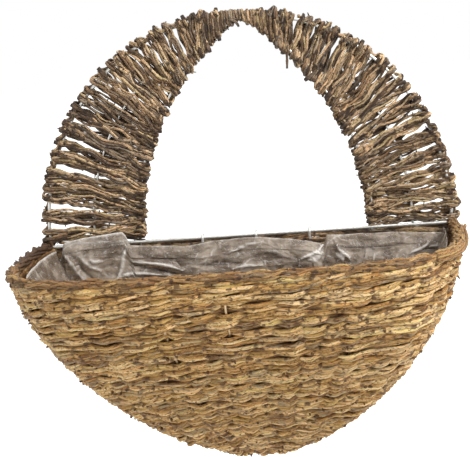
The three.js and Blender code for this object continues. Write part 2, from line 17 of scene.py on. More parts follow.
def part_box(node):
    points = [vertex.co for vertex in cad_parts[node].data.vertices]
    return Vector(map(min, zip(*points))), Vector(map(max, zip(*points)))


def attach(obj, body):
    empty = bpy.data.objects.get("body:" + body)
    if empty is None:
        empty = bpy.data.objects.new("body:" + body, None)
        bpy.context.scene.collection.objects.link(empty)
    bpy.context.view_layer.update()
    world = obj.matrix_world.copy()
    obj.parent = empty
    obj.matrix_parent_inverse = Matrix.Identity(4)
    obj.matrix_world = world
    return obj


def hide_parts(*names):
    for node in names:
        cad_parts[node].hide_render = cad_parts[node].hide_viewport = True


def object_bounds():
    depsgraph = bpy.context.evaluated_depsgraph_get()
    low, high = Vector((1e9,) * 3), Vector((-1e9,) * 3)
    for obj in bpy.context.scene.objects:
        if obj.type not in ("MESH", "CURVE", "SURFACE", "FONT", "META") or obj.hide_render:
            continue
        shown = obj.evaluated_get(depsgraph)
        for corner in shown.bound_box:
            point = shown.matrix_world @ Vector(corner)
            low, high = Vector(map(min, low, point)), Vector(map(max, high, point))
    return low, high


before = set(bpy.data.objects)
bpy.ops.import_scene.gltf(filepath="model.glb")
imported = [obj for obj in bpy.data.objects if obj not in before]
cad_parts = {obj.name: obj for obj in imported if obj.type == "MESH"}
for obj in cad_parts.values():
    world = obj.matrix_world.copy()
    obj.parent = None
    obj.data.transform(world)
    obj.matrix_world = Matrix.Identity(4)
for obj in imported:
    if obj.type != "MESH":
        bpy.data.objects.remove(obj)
cad_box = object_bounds()

# Wires: radii, and the gap between two wires that are joined
FRAME_WIRE = 1.6
RIB_WIRE = 1.25
CLEARANCE = 0.45

# Hoop and arch
HOOP_RADIUS = 188.0
HOOP_RISE = 192.0
HOOP_CENTRE_HEIGHT = 13.0
INNER_HALF_WIDTH = 109.5
INNER_OFFSET = 6.5
INNER_TIP_HEIGHT = HOOP_CENTRE_HEIGHT + HOOP_RISE - FRAME_WIRE - CLEARANCE - RIB_WIRE
INNER_TIP_HALF_GAP = RIB_WIRE + CLEARANCE / 2
INNER_HEIGHT_POWER = 2.176
INNER_WIDTH_POWER = 0.846
INNER_LEAN_SHARE = 0.35
MIDDLE_WIRE_SHARE = 0.62
ROW_TILT = 0.2
SEAT_HEIGHT = 194.8508

# Bowl
SWELL = {-1: 10.3, 1: 3.3}
CORNER_EXPONENT = {-1: 4.4, 1: 3.8}
BOWL_DEPTH = 208.0
BOWL_WAIST = 60.0
BOWL_HEIGHT = 205.3
WIDTH_EXPONENT = 1.55
DEPTH_EXPONENT = 1.36
END_RIB_SETBACK = 13.798
RIM_SETBACK = 5.7
RAIL_SETBACK = 3.65
RIBS_EACH_SIDE = 6
RIB_INDICES = range(-RIBS_EACH_SIDE, RIBS_EACH_SIDE + 1)
SHORT_RIB_SHARE = 0.87
LONG_RIB_SHARE = 0.985

# Weave
TOP_ROW_DROP = 7.0
FIRST_DROP = 11.742
ROW_PITCH = 8.8
ARCH_PITCH = 8.9
ARCH_TWIG_RADIUS = 1.2
BINDING_WIDTH = 70.0
UPRIGHT_SPACING = 50.0
HOOK_TAIL = 7.0

HOOP_HALF_WIDTH = HOOP_RADIUS * math.sqrt(1 - (HOOP_CENTRE_HEIGHT / HOOP_RISE) ** 2)
HOOK_RADIUS = FRAME_WIRE + CLEARANCE + RIB_WIRE
UPRIGHT_SETBACK = RAIL_SETBACK - HOOK_RADIUS

OUT_OF_WALL = np.array([0.0, -1.0, 0.0])
UP = np.array([0.0, 0.0, 1.0])
METRE = 1000.0
TINY = 1e-9

# Random starts of waves and turns, in radians
START_ANGLES = (0.0, 6.0)

# Seeds of the random draws
BOWL_SEED = 100
ARCH_SEED = 300
BACK_SEED = 500
BINDING_SEED = 700
ROPE_SEED = 800
FILM_SEED = 900


def to_row(points):
    """Metres in the row frame from millimetres in the basket's frame."""
    return (np.asarray(points, float) - [INNER_OFFSET, 0.0, SEAT_HEIGHT]) / METRE


# Curves and noise

CURVE_STEPS = 8


def unit(vectors):
    return vectors / np.maximum(np.linalg.norm(vectors, axis=-1, keepdims=True), TINY)


def lengths_along(path):
    steps = np.linalg.norm(np.diff(path[:, :3], axis=0), axis=1)
    return np.concatenate([[0.0], np.cumsum(steps)])


def at_length(path, where, lengths=None):
    """Points of a path at the given lengths along it."""
    lengths = lengths_along(path) if lengths is None else lengths
    return np.stack([np.interp(where, lengths, path[:, axis]) for axis in range(path.shape[1])], axis=1)


def evenly(path, spacing):
    lengths = lengths_along(path)
    count = max(int(round(lengths[-1] / spacing)), 2)
    return at_length(path, np.linspace(0.0, lengths[-1], count + 1), lengths)


def rounded(points, spacing):
    """A smooth curve through control points, sampled evenly. Each stretch is a Catmull-Rom cubic."""
    points = np.asarray(points, float)
    padded = np.vstack([2 * points[0] - points[1], points, 2 * points[-1] - points[-2]])
    share = np.linspace(0.0, 1.0, CURVE_STEPS, endpoint=False)[:, None]
    pieces = []
    for a, b, c, d in zip(padded, padded[1:], padded[2:], padded[3:]):
        pieces.append(
            b
            + share * (c - a) / 2
            + share**2 * (a - 2.5 * b + 2 * c - d / 2)
            + share**3 * (1.5 * b - 1.5 * c + d / 2 - a / 2)
        )
    return evenly(np.vstack(pieces + [points[-1:]]), spacing)


def noise_along(rng, lengths, reach):
    """Smooth noise between -1 and 1 that changes over the given reach."""
    count = int(lengths[-1] / reach) + 3
    values = rng.uniform(-1.0, 1.0, count)
    place = lengths / reach + rng.uniform(0.0, 1.0)
    first = np.minimum(place.astype(int), count - 2)
    share = place - first
    share = share * share * (3 - 2 * share)
    return values[first] * (1 - share) + values[first + 1] * share


def carried_frames(path):
    """Tangents and two cross directions that are carried along a path without twisting."""
    tangents = unit(np.gradient(path, axis=0))
    start = np.cross(tangents[0], UP if abs(tangents[0][2]) < 0.9 else OUT_OF_WALL)
    normals = np.empty_like(path)
    normals[0] = start / np.linalg.norm(start)
    for i in range(1, len(path)):
        carried = normals[i - 1] - tangents[i] * np.dot(normals[i - 1], tangents[i])
        normals[i] = carried / max(math.sqrt(np.dot(carried, carried)), TINY)
    return tangents, normals, np.cross(tangents, normals)


def circle(sides):
    """The angles of the points round a strand."""
    return 2 * math.pi * np.arange(sides) / sides


def quarter(samples):
    """The sines of evenly spaced angles from 0 to a right angle, which close up towards 1."""
    return np.sin(np.linspace(0.0, math.pi / 2, samples))


def ramp(values, start, reach):
    """0 up to a start, 1 from a reach past it, and straight in between."""
    return np.clip((values - start) / reach, 0.0, 1.0)


def bell(values, reach):
    """1 at 0, falling off over a reach on both sides."""
    return np.exp(-((values / reach) ** 2))


# Bowl and arch surfaces, from the same sizes as the solids

PLAN_SAMPLES = 500
PLAN_SPACING = 1.0
INNER_SAMPLES = 400


def plan_side(side, setback, samples):
    """One side of the rim's plan, from a distance in front of the hoop to the middle of the front."""
    half_width = HOOP_HALF_WIDTH + SWELL[side]
    power = 2 / CORNER_EXPONENT[side]
    behind = np.linspace(BOWL_WAIST - setback, 0.0, samples, endpoint=False)
    x_back = half_width - SWELL[side] * (behind / BOWL_WAIST) ** 2
    angle = np.linspace(0.0, math.pi / 2, samples + 1)
    x_front = half_width * np.maximum(np.cos(angle), 0.0) ** power
    y_front = -BOWL_WAIST - (BOWL_DEPTH - BOWL_WAIST) * np.sin(angle) ** power
    x = side * np.concatenate([x_back, x_front])
    y = np.concatenate([behind - BOWL_WAIST, y_front])
    return np.stack([x, y, np.zeros_like(x)], axis=1)


def plan_curve(setback, samples):
    """The rim's plan, from the left end to the right one."""
    left, right = (plan_side(side, setback, samples) for side in (-1, 1))
    return np.vstack([left, right[-2::-1]])


PLAN = evenly(plan_curve(END_RIB_SETBACK, PLAN_SAMPLES), PLAN_SPACING)
PLAN_SHARES = np.linspace(0.0, 1.0, len(PLAN))


def narrowing(level, exponent):
    return np.maximum(1 - np.clip(level, 0, 1) ** exponent, 0.0) ** (1 / exponent)


def bowl(share, level):
    """Points of the bowl's weave at shares along the rim and at levels from the rim, 0, to the bottom, 1."""
    share, level = np.broadcast_arrays(np.asarray(share, float), np.asarray(level, float))
    x = np.interp(share, PLAN_SHARES, PLAN[:, 0]) * narrowing(level, WIDTH_EXPONENT)
    depth = np.interp(share, PLAN_SHARES, PLAN[:, 1]) + END_RIB_SETBACK
    y = -END_RIB_SETBACK + depth * narrowing(level, DEPTH_EXPONENT)
    return np.stack([x, y, -BOWL_HEIGHT * level], axis=-1)


def bowl_directions(share, level):
    """Along a row, up the wall, and out of the bowl."""
    step = 0.004
    along = unit(bowl(np.minimum(share + step, 1), level) - bowl(np.maximum(share - step, 0), level))
    upward = unit(bowl(share, np.maximum(level - step, 0)) - bowl(share, np.minimum(level + step, 1)))
    return along, upward, unit(np.cross(along, upward))


def arch_outer(side, angle):
    height = HOOP_CENTRE_HEIGHT + HOOP_RISE * math.sin(angle)
    return np.array([side * HOOP_RADIUS * math.cos(angle), 0.0, height])


def inner_curve(side):
    height = INNER_TIP_HEIGHT * quarter(INNER_SAMPLES)
    openness = (1 - (height / INNER_TIP_HEIGHT) ** INNER_HEIGHT_POWER) ** INNER_WIDTH_POWER
    reach = INNER_TIP_HALF_GAP + (INNER_HALF_WIDTH - INNER_TIP_HALF_GAP) * openness
    return np.stack([INNER_OFFSET + side * reach, np.zeros_like(height), height], axis=1)


INNER_CURVES = {side: inner_curve(side) for side in (-1, 1)}
ARCH_FIRST_ROW = FRAME_WIRE + CLEARANCE + ARCH_PITCH / 2
ARCH_START_ANGLE = math.asin((ARCH_FIRST_ROW - HOOP_CENTRE_HEIGHT) / HOOP_RISE)


def arch_ends(side, share):
    """Where a row at a share of the way up the arch meets the outer and the inner wire."""
    peak_angle = math.pi / 2 - side * math.asin(INNER_OFFSET / HOOP_RADIUS)
    outer = arch_outer(side, ARCH_START_ANGLE + (peak_angle - ARCH_START_ANGLE) * share)
    curve = INNER_CURVES[side]
    total = lengths_along(curve)[-1]
    start = ARCH_FIRST_ROW / total
    inner_share = share - INNER_LEAN_SHARE * share**4 * (1 - share) - ROW_TILT * share * (1 - share)
    inner = at_length(curve, [total * (start + (1 - start) * inner_share)])[0]
    return outer, inner


# Meshes

# The materials read lengths in centimetres
TEXTURE_UNIT = 10.0


def link(name, data):
    """A new object in the scene."""
    thing = bpy.data.objects.new(name, data)
    bpy.context.scene.collection.objects.link(thing)
    return thing


def add_piece(name, points, faces, attributes, material, nodes):
    """A smooth mesh with the values that its material reads. It stands for its CAD nodes."""
    mesh = bpy.data.meshes.new(name)
    mesh.from_pydata(to_row(points).tolist(), [], faces)
    for label, values in attributes.items():
        kind, field = ("FLOAT_VECTOR", "vector") if values.ndim == 2 else ("FLOAT", "value")
        attribute = mesh.attributes.new(label, kind, "POINT")
        attribute.data.foreach_set(field, values.astype(np.float32).ravel())
    mesh.polygons.foreach_set("use_smooth", [True] * len(mesh.polygons))
    mesh.materials.append(material)
    piece = link(name, mesh)
    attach(piece, "root")
    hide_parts(*nodes)
    return piece


def tube_faces(rows, sides, first):
    """The faces between rows of points that close round on themselves, from the first point's number."""
    row = np.arange(rows - 1)[:, None] * sides + first
    here, after = np.arange(sides), (np.arange(sides) + 1) % sides
    quads = np.stack([row + here, row + after, row + sides + after, row + sides + here], axis=-1)
    return quads.reshape(-1, 4).tolist()


class Strands:
    """Collects round strands into one mesh, with the values that their material reads at each point."""

    def __init__(self, sides):
        self.sides = sides
        self.points = []
        self.faces = []
        self.values = {"grain": [], "tone": [], "knot": [], "deep": []}
        self.count = 0

    def add(self, path, radii, tone=(0.5, 0.0, 0.0), knot=0.0):
        """One strand. radii and knot hold one value, or one for each point, or one for each point and side.

        A fourth column of the path gives the shade that the material paints at each point, from 0 to 1, such
        as how deep in the weave the point lies.
        """
        path = np.asarray(path, float)
        deep = path[:, 3] if path.shape[1] > 3 else np.zeros(len(path))
        path = path[:, :3]
        count, sides = len(path), self.sides
        radii, knot = (
            np.broadcast_to(np.reshape(values, (count, -1)) if np.ndim(values) else values, (count, sides))
            for values in (radii, knot)
        )
        _, normals, binormals = carried_frames(path)
        angle = circle(sides)
        cosines, sines = np.cos(angle)[None, :, None], np.sin(angle)[None, :, None]
        ring = cosines * normals[:, None] + sines * binormals[:, None]
        self.points.append((path[:, None] + ring * radii[:, :, None]).reshape(-1, 3))
        self.faces.extend(tube_faces(count, sides, self.count))
        cap = self.count + np.arange(sides)
        self.faces.append(cap[::-1].tolist())
        self.faces.append((cap + (count - 1) * sides).tolist())
        along = np.repeat(lengths_along(path), sides)
        around = np.tile(angle, count)
        self.values["grain"].append(np.stack([along / TEXTURE_UNIT, np.cos(around), np.sin(around)], axis=1))
        self.values["tone"].append(np.tile(np.asarray(tone, float), (count * sides, 1)))
        self.values["knot"].append(knot.ravel())
        self.values["deep"].append(np.repeat(deep, sides))
        self.count += count * sides

    def build(self, name, material, slot, nodes):
        attributes = {label: np.concatenate(values) for label, values in self.values.items()}
        add_piece(name, np.vstack(self.points), self.faces, attributes, material, nodes)


# Twigs

class Look:
    """How the twigs of one part of the basket vary.

    knot_swell is a share of the radius, wander is how far a twig strays at its knots, bud_share is the share
    of knots with a side shoot, and spacing is the distance between a twig's rings.
    """

    def __init__(self, tones, greyness, knot_gap, knot_swell, wander, bud_share, spacing):
        self.tones = tones
        self.greyness = greyness
        self.knot_gap = knot_gap
        self.knot_swell = knot_swell
        self.wander = wander
        self.bud_share = bud_share
        self.spacing = spacing


BOWL_LOOK = Look(
    tones=(0.0, 1.0), greyness=0.30, knot_gap=(5.0, 16.0), knot_swell=0.38,
    wander=0.60, bud_share=0.12, spacing=2.0,
)
ARCH_LOOK = Look(
    tones=(0.0, 1.1), greyness=0.40, knot_gap=(5.0, 14.0), knot_swell=0.45,
    wander=0.50, bud_share=0.25, spacing=1.7,
)
BACK_LOOK = Look(
    tones=(0.1, 0.9), greyness=0.30, knot_gap=(10.0, 28.0), knot_swell=0.24,
    wander=0.60, bud_share=0.20, spacing=2.8,
)
ROPE_LOOK = Look(
    tones=(0.0, 1.0), greyness=0.30, knot_gap=(6.0, 20.0), knot_swell=0.30,
    wander=0.70, bud_share=0.35, spacing=2.0,
)
BINDING_LOOK = Look(
    tones=(0.0, 0.7), greyness=0.40, knot_gap=(5.0, 14.0), knot_swell=0.45,
    wander=0.50, bud_share=0.10, spacing=1.7,
)
WRAP_LOOK = Look(
    tones=(0.0, 0.5), greyness=0.20, knot_gap=(3.0, 9.0), knot_swell=0.30,
    wander=0.40, bud_share=0.0, spacing=1.7,
)
END_LOOK = Look(
    tones=(0.5, 0.9), greyness=0.0, knot_gap=(30.0, 60.0), knot_swell=0.08,
    wander=0.20, bud_share=0.0, spacing=2.0,
)

# Thickness of a twig, as shares of its radius: slow and quick waves, thinner ends and uneven sides
SLOW_WAVE_SHARE, SLOW_WAVE_REACH = 0.14, 12.0
QUICK_WAVE_SHARE, QUICK_WAVE_REACH = 0.07, 4.0
THIN_END_SHARE, THIN_END_REACH = 0.72, 3.0
UNEVEN_SHARE = 0.08

# Knots and side shoots
KNOT_STRENGTH = (0.2, 1.0)
KNOT_REACH = (1.1, 3.4)
KNOT_FACING_POWER = 1.5
BUD_END_GAP = 2.0
BUD_RADIUS_SHARE = 0.62
BUD_LENGTH = (0.8, 2.6)
BUD_BEND_SHARE = 0.25
BUD_RADII_SHARES = np.array([1.0, 0.95, 0.8, 0.55])
BUD_SCAR_SHARES = np.array([0.3, 0.5, 0.8, 1.0])

# Runs of several twigs: what is too short to be laid, the least rest, and how far two twigs overlap
RUN_SPACING = 1.0
FEWEST_POINTS = 6
SHORTEST_PIECE = 8.0
LEAST_REST = 25.0
OVERLAP = (6.0, 14.0)
RUN_SWELL = (0.88, 1.1)

# Bundles
ROLL_REACH, ROLL_RIPPLE_REACH = 40.0, 17.0
STRAY_REACH = 22.0
BUNDLE_FLATNESS = 0.6


def add_bud(strands, rng, base, direction, radius, length, tone):
    """A cut side shoot: a short stub that stands out of a knot."""
    share = np.linspace(0.0, 1.0, len(BUD_RADII_SHARES))[:, None]
    bend = unit(rng.normal(size=3)) * BUD_BEND_SHARE * length
    path = base + direction * length * share + bend * share**2
    strands.add(path, radius * BUD_RADII_SHARES, tone, BUD_SCAR_SHARES)


def add_twig(strands, rng, path, radius, look):
    """One grown twig along a path, with knots where it swells and turns, uneven bark and cut side shoots."""
    path = evenly(path, look.spacing)
    deep = path[:, 3:]
    path = path[:, :3]
    lengths = lengths_along(path)
    total = lengths[-1]
    knots = [rng.uniform(1.0, look.knot_gap[0])]
    while knots[-1] < total:
        knots.append(knots[-1] + rng.uniform(*look.knot_gap))
    _, normals, binormals = carried_frames(path)
    places = np.array([0.0] + knots)
    for across in (normals, binormals):
        shift = np.interp(lengths, places, rng.uniform(-1.0, 1.0, len(places)) * look.wander)
        path = path + across * shift[:, None]
    radii = 1 + SLOW_WAVE_SHARE * noise_along(rng, lengths, SLOW_WAVE_REACH)
    radii = radii + QUICK_WAVE_SHARE * noise_along(rng, lengths, QUICK_WAVE_REACH)
    from_end = np.minimum(lengths, total - lengths)
    radii = radii * (THIN_END_SHARE + (1 - THIN_END_SHARE) * ramp(from_end, 0.0, THIN_END_REACH))
    radii = radii[:, None] * (1 + UNEVEN_SHARE * rng.uniform(-1.0, 1.0, (len(path), strands.sides)))
    mask = np.zeros(radii.shape)
    strengths = rng.uniform(*KNOT_STRENGTH, len(knots))
    for place, strength in zip(knots, strengths):
        swelling = strength * bell(lengths - place, rng.uniform(*KNOT_REACH))[:, None]
        turned = circle(strands.sides) - rng.uniform(0, 2 * math.pi)
        facing = (0.5 + 0.5 * np.cos(turned)) ** KNOT_FACING_POWER
        radii = radii + look.knot_swell * swelling * (0.4 + 0.9 * facing)
        mask = np.maximum(mask, swelling * (0.35 + 0.65 * facing))
    lightness = rng.uniform(*look.tones)
    greyness = float(rng.uniform() < look.greyness) * rng.uniform(0.4, 1.0)
    tone = (lightness, greyness, rng.uniform())
    strands.add(np.hstack([path, deep]), radius * radii, tone, mask)
    for place in knots:
        if place > total - BUD_END_GAP or rng.uniform() > look.bud_share:
            continue
        index = int(np.searchsorted(lengths, place))
        angle = rng.uniform(0, 2 * math.pi)
        side = normals[index] * math.cos(angle) + binormals[index] * math.sin(angle)
        length = radius + rng.uniform(*BUD_LENGTH)
        add_bud(strands, rng, path[index], side, radius * BUD_RADIUS_SHARE, length, tone)


def add_run(strands, rng, path, radius, look, twig_length):
    """A long run laid from several twigs, each starting beside the end of the one before."""
    total = lengths_along(path)[-1]
    start = -rng.uniform(0.0, 0.5) * twig_length[0]
    while start < total - SHORTEST_PIECE:
        end = start + rng.uniform(*twig_length)
        if total - end < LEAST_REST:
            end = total
        where = np.arange(max(start, 0.0), min(end, total) + 0.01, RUN_SPACING)
        if len(where) > FEWEST_POINTS:
            add_twig(strands, rng, at_length(path, where), radius * rng.uniform(*RUN_SWELL), look)
        start = end - rng.uniform(*OVERLAP)


def add_runs(strands, rng, paths, radius, spread, look, twig_length):
    """Runs along several paths. spread is the range of their radii, as shares of the radius."""
    for path in paths:
        add_run(strands, rng, path, radius * rng.uniform(*spread), look, twig_length)


def bundle(rng, path, across, count, spacing, twist, stray):
    """Paths of several twigs that lie side by side along one path, roll round each other and stray a little.

    The shorter a side direction in across is, the closer the twigs are gathered there.
    """
    line, more = path[:, :3], path[:, 3:]
    lengths = lengths_along(line)
    tangents = unit(np.gradient(line, axis=0))
    gather = np.linalg.norm(across, axis=1)
    across = unit(across - tangents * np.sum(across * tangents, axis=1, keepdims=True))
    other = np.cross(tangents, across)
    roll = twist * noise_along(rng, lengths, ROLL_REACH)
    roll = roll + twist * 0.5 * noise_along(rng, lengths, ROLL_RIPPLE_REACH)
    paths = []
    for place in range(count):
        offset = spacing * (place - (count - 1) / 2)
        offset = offset + stray * spacing * noise_along(rng, lengths, STRAY_REACH)
        wide = offset * np.cos(roll) * gather
        deep = offset * np.sin(roll) * BUNDLE_FLATNESS
        deep = deep + BUNDLE_FLATNESS * stray * spacing * noise_along(rng, lengths, STRAY_REACH)
        paths.append(np.hstack([line + across * wide[:, None] + other * deep[:, None], more]))
    return paths


def loose_tone(rng, brightest):
    """The tone, greyness and seed of a cut end."""
    return rng.uniform(0.0, brightest), 0.4 * rng.uniform(), rng.uniform()


# Materials

WHITE = (1.0, 1.0, 1.0, 1.0)
OLIVE_TINT = (0.90, 0.95, 0.72, 1.0)
WARM_TINT = (0.98, 0.80, 0.66, 1.0)


class Graph:
    """The node tree of a material or a world, with short calls for the nodes that are used here."""

    def __init__(self, holder):
        holder.use_nodes = True
        self.holder = holder
        self.nodes = holder.node_tree.nodes
        self.links = holder.node_tree.links

    def feed(self, socket, value):
        if isinstance(value, bpy.types.NodeSocket):
            self.links.new(value, socket)
        else:
            socket.default_value = value

    def surface(self, inputs):
        """Feeds the material's shader and gives the material."""
        for name, value in inputs.items():
            self.feed(self.nodes["Principled BSDF"].inputs[name], value)
        return self.holder

    def attribute(self, name):
        node = self.nodes.new("ShaderNodeAttribute")
        node.attribute_name = name
        return node

    def parts(self, vector):
        node = self.nodes.new("ShaderNodeSeparateXYZ")
        self.feed(node.inputs[0], vector)
        return node.outputs[0], node.outputs[1], node.outputs[2]

    def joined(self, x, y, z):
        node = self.nodes.new("ShaderNodeCombineXYZ")
        for socket, value in zip(node.inputs, (x, y, z)):
            self.feed(socket, value)
        return node.outputs[0]

    def math(self, operation, a, b=0.0, c=0.0):
        node = self.nodes.new("ShaderNodeMath")
        node.operation = operation
        for socket, value in zip(node.inputs, (a, b, c)):
            self.feed(socket, value)
        return node.outputs[0]

    def noise(self, vector, scale, detail=3.0, roughness=0.55):
        node = self.nodes.new("ShaderNodeTexNoise")
        node.inputs["Scale"].default_value = scale
        node.inputs["Detail"].default_value = detail
        node.inputs["Roughness"].default_value = roughness
        self.feed(node.inputs["Vector"], vector)
        return node.outputs["Fac"]

    def facets(self, vector, scale):
        """How far each place lies from the edge of its facet."""
        node = self.nodes.new("ShaderNodeTexVoronoi")
        node.feature = "DISTANCE_TO_EDGE"
        node.inputs["Scale"].default_value = scale
        self.feed(node.inputs["Vector"], vector)
        return node.outputs["Distance"]

    def smooth(self, value, low, high, to_low=0.0, to_high=1.0):
        """Turns the range from low to high into the one from to_low to to_high, with soft ends."""
        node = self.nodes.new("ShaderNodeMapRange")
        node.interpolation_type = "SMOOTHSTEP"
        for socket, given in zip(node.inputs, (value, low, high, to_low, to_high)):
            self.feed(socket, given)
        return node.outputs[0]

    def mix(self, factor, first, second, blend="MIX"):
        node = self.nodes.new("ShaderNodeMix")
        node.data_type = "RGBA"
        node.blend_type = blend
        self.feed(node.inputs[0], factor)
        self.feed(node.inputs[6], first)
        self.feed(node.inputs[7], second)
        return node.outputs[2]

    def bump(self, height, strength, distance):
        node = self.nodes.new("ShaderNodeBump")
        node.inputs["Strength"].default_value = strength
        node.inputs["Distance"].default_value = distance
        self.feed(node.inputs["Height"], height)
        return node.outputs[0]

    def looked_at(self):
        """1 for a ray of the camera, also through film or off wire, and 0 for one that lights something."""
        seen = self.nodes.new("ShaderNodeLightPath")
        shown = self.math("MAXIMUM", seen.outputs["Is Camera Ray"], seen.outputs["Is Glossy Ray"])
        return self.math("MAXIMUM", shown, seen.outputs["Is Transmission Ray"])


def linear(red, green, blue):
    """A colour for a shader from the eight-bit values that it has on screen."""
    def channel(value):
        value /= 255.0
        return value / 12.92 if value <= 0.04045 else ((value + 0.055) / 1.055) ** 2.4

    return (channel(red), channel(green), channel(blue), 1.0)


def twig_material(name, contrast, dark, middle, light, grey, knots):
    """Twig skin: long fibres, a tone and a hue for each twig, worn grey stretches, dark knots, and painted
    shade where a twig lies deep in the weave.
    """
    graph = Graph(bpy.data.materials.new(name))
    tone, greyness, seed = graph.parts(graph.attribute("tone").outputs["Vector"])
    along, cosine, sine = graph.parts(graph.attribute("grain").outputs["Vector"])
    knot = graph.attribute("knot").outputs["Fac"]
    deep = graph.attribute("deep").outputs["Fac"]
    shifted = graph.math("MULTIPLY_ADD", seed, 91.0, along)

    def skin(stretch, scale, detail, roughness=0.55):
        where = graph.joined(graph.math("MULTIPLY", shifted, stretch), cosine, sine)
        return graph.noise(where, scale, detail, roughness)

    fibres = skin(0.18, 4.2, 5.0, 0.7)
    patches = skin(1.1, 1.0, 3.0)
    blotches = skin(2.4, 1.4, 4.0)
    hues = skin(0.22, 1.0, 2.0)
    lightness = graph.math("MULTIPLY_ADD", tone, contrast, -0.5 - 0.5 * contrast)
    lightness = graph.math("MULTIPLY_ADD", fibres, 1.2, lightness)
    lightness = graph.math("MULTIPLY_ADD", patches, 0.8, lightness)
    colour = graph.mix(graph.smooth(lightness, 0.05, 0.5), linear(*dark), linear(*middle))
    colour = graph.mix(graph.smooth(lightness, 0.4, 0.85), colour, linear(*light))
    tint = graph.mix(graph.smooth(hues, 0.36, 0.48), OLIVE_TINT, WHITE)
    tint = graph.mix(graph.smooth(hues, 0.52, 0.64), tint, WARM_TINT)
    colour = graph.mix(1.0, colour, tint, "MULTIPLY")
    worn = graph.math("MULTIPLY", graph.smooth(patches, 0.40, 0.60), greyness)
    colour = graph.mix(worn, colour, linear(*grey))
    colour = graph.mix(graph.smooth(blotches, 0.53, 0.63, 0.0, 0.8), colour, linear(*dark))
    # Painted shade: the twig is darkened towards the dark colour where its deep value is high, deep in the
    # weave and on the border's shaded stretch.
    colour = graph.mix(graph.smooth(deep, 0.2, 1.0, 0.0, 0.85), colour, linear(*dark))
    scar = graph.math("MULTIPLY_ADD", graph.math("SUBTRACT", blotches, 0.5), 1.2, knot)
    colour = graph.mix(graph.smooth(scar, 0.2, 0.65, 0.0, 0.85), colour, linear(*knots))
    return graph.surface({
        "Base Color": colour,
        "Roughness": graph.smooth(fibres, 0.3, 0.7, 0.48, 0.76),
        "Specular IOR Level": 0.4,
        "Normal": graph.bump(graph.math("MULTIPLY_ADD", blotches, 0.7, fibres), 0.9, 0.0014),
    })


def wire_material(name, dull, bright):
    """Galvanised wire: dull zinc with spangle and darker stains."""
    graph = Graph(bpy.data.materials.new(name))
    where = graph.attribute("grain").outputs["Vector"]
    spangle = graph.noise(where, 4.0, 3.0)
    stains = graph.noise(where, 0.7, 4.0)
    colour = graph.mix(graph.smooth(spangle, 0.35, 0.65), linear(*dull), linear(*bright))
    colour = graph.mix(graph.smooth(stains, 0.55, 0.75, 0.0, 0.5), colour, linear(120, 112, 98))
    return graph.surface({
        "Base Color": colour,
        "Metallic": 0.85,
        "Roughness": graph.smooth(spangle, 0.3, 0.7, 0.30, 0.48),
        "Normal": graph.bump(spangle, 0.2, 0.0003),
    })


BOWL_TWIG = twig_material(
    "peeled_willow", 0.6,
    dark=(96, 60, 24), middle=(208, 162, 94), light=(255, 221, 166), grey=(162, 142, 112), knots=(80, 48, 22),
)
ARCH_TWIG = twig_material(
    "dark_twig", 0.85,
    dark=(56, 41, 30), middle=(138, 110, 80), light=(232, 200, 160), grey=(156, 140, 122), knots=(46, 32, 24),
)
ROPE_TWIG = twig_material(
    "rope_twig", 0.5,
    dark=(62, 38, 18), middle=(150, 112, 68), light=(204, 166, 112), grey=(134, 114, 92), knots=(52, 32, 20),
)
WIRE = wire_material("galvanised_wire", dull=(186, 185, 180), bright=(232, 232, 228))
STAINED_WIRE = wire_material("stained_wire", dull=(150, 126, 94), bright=(200, 174, 138))


# Wires

WIRE_SIDES = 12
WIRE_SPACING = 2.5
HOOK_SPACING = 1.0
HOOK_POINTS = 16
RIM_SAMPLES = 300
HOOP_LOWER_SAMPLES = 120
HOOP_UPPER_SAMPLES = 200
ARCH_WIRE_SAMPLES = 60
RIB_SAMPLES = 80


def round_wire(name, path, radius, node, spacing=WIRE_SPACING, material=WIRE):
    strands = Strands(WIRE_SIDES)
    strands.add(evenly(np.asarray(path, float), spacing), radius)
    strands.build(name, material, "galvanised_wire", [node])


def hoop_half_width(level):
    return HOOP_HALF_WIDTH * narrowing(level, WIDTH_EXPONENT)


def hoop_foot(x):
    """How far below the rail the hoop passes at a distance from its middle."""
    return BOWL_HEIGHT * (1 - (abs(x) / HOOP_HALF_WIDTH) ** WIDTH_EXPONENT) ** (1 / WIDTH_EXPONENT)


def hoop():
    level = quarter(HOOP_LOWER_SAMPLES)
    left = np.stack([-hoop_half_width(level), np.zeros_like(level), -BOWL_HEIGHT * level], axis=1)
    start = math.asin(-HOOP_CENTRE_HEIGHT / HOOP_RISE)
    upper = [arch_outer(-1, angle) for angle in np.linspace(start, math.pi - start, HOOP_UPPER_SAMPLES)]
    path = np.vstack([left[::-1], upper[1:-1], left * [-1, 1, 1]])
    round_wire("hoop", path, FRAME_WIRE, "back_hoop_wire")


def arch_wires():
    for side, side_name in ((-1, "left"), (1, "right")):
        for place, last in (("middle", MIDDLE_WIRE_SHARE), ("inner", 1.0)):
            points = []
            for share in np.linspace(0.0, last, ARCH_WIRE_SAMPLES):
                outer, inner = arch_ends(side, share)
                points.append(inner if place == "inner" else (outer + inner) / 2)
            foot_x = points[0][0]
            leg = [foot_x, 0.0, -hoop_foot(foot_x) + FRAME_WIRE]
            name = f"{side_name}_{place}_arch_wire"
            round_wire(f"{name}_round", np.vstack([[leg], points]), RIB_WIRE, name)


def uprights():
    """Three wires from the hoop to the rail, each with a hook over the rail."""
    angle = np.linspace(0.0, math.pi, HOOK_POINTS)
    for index, name in enumerate(("left", "middle", "right")):
        x = INNER_OFFSET + (index - 1) * UPRIGHT_SPACING
        bend_y = -RAIL_SETBACK + HOOK_RADIUS * np.cos(angle)
        bend = np.stack([np.full(HOOK_POINTS, x), bend_y, HOOK_RADIUS * np.sin(angle)], axis=1)
        foot = [x, -UPRIGHT_SETBACK, -hoop_foot(x) + FRAME_WIRE]
        tail = [x, -RAIL_SETBACK - HOOK_RADIUS, -HOOK_TAIL]
        path = np.vstack([[foot], bend, [tail]])
        round_wire(f"{name}_upright", path, RIB_WIRE, f"{name}_back_upright", HOOK_SPACING)


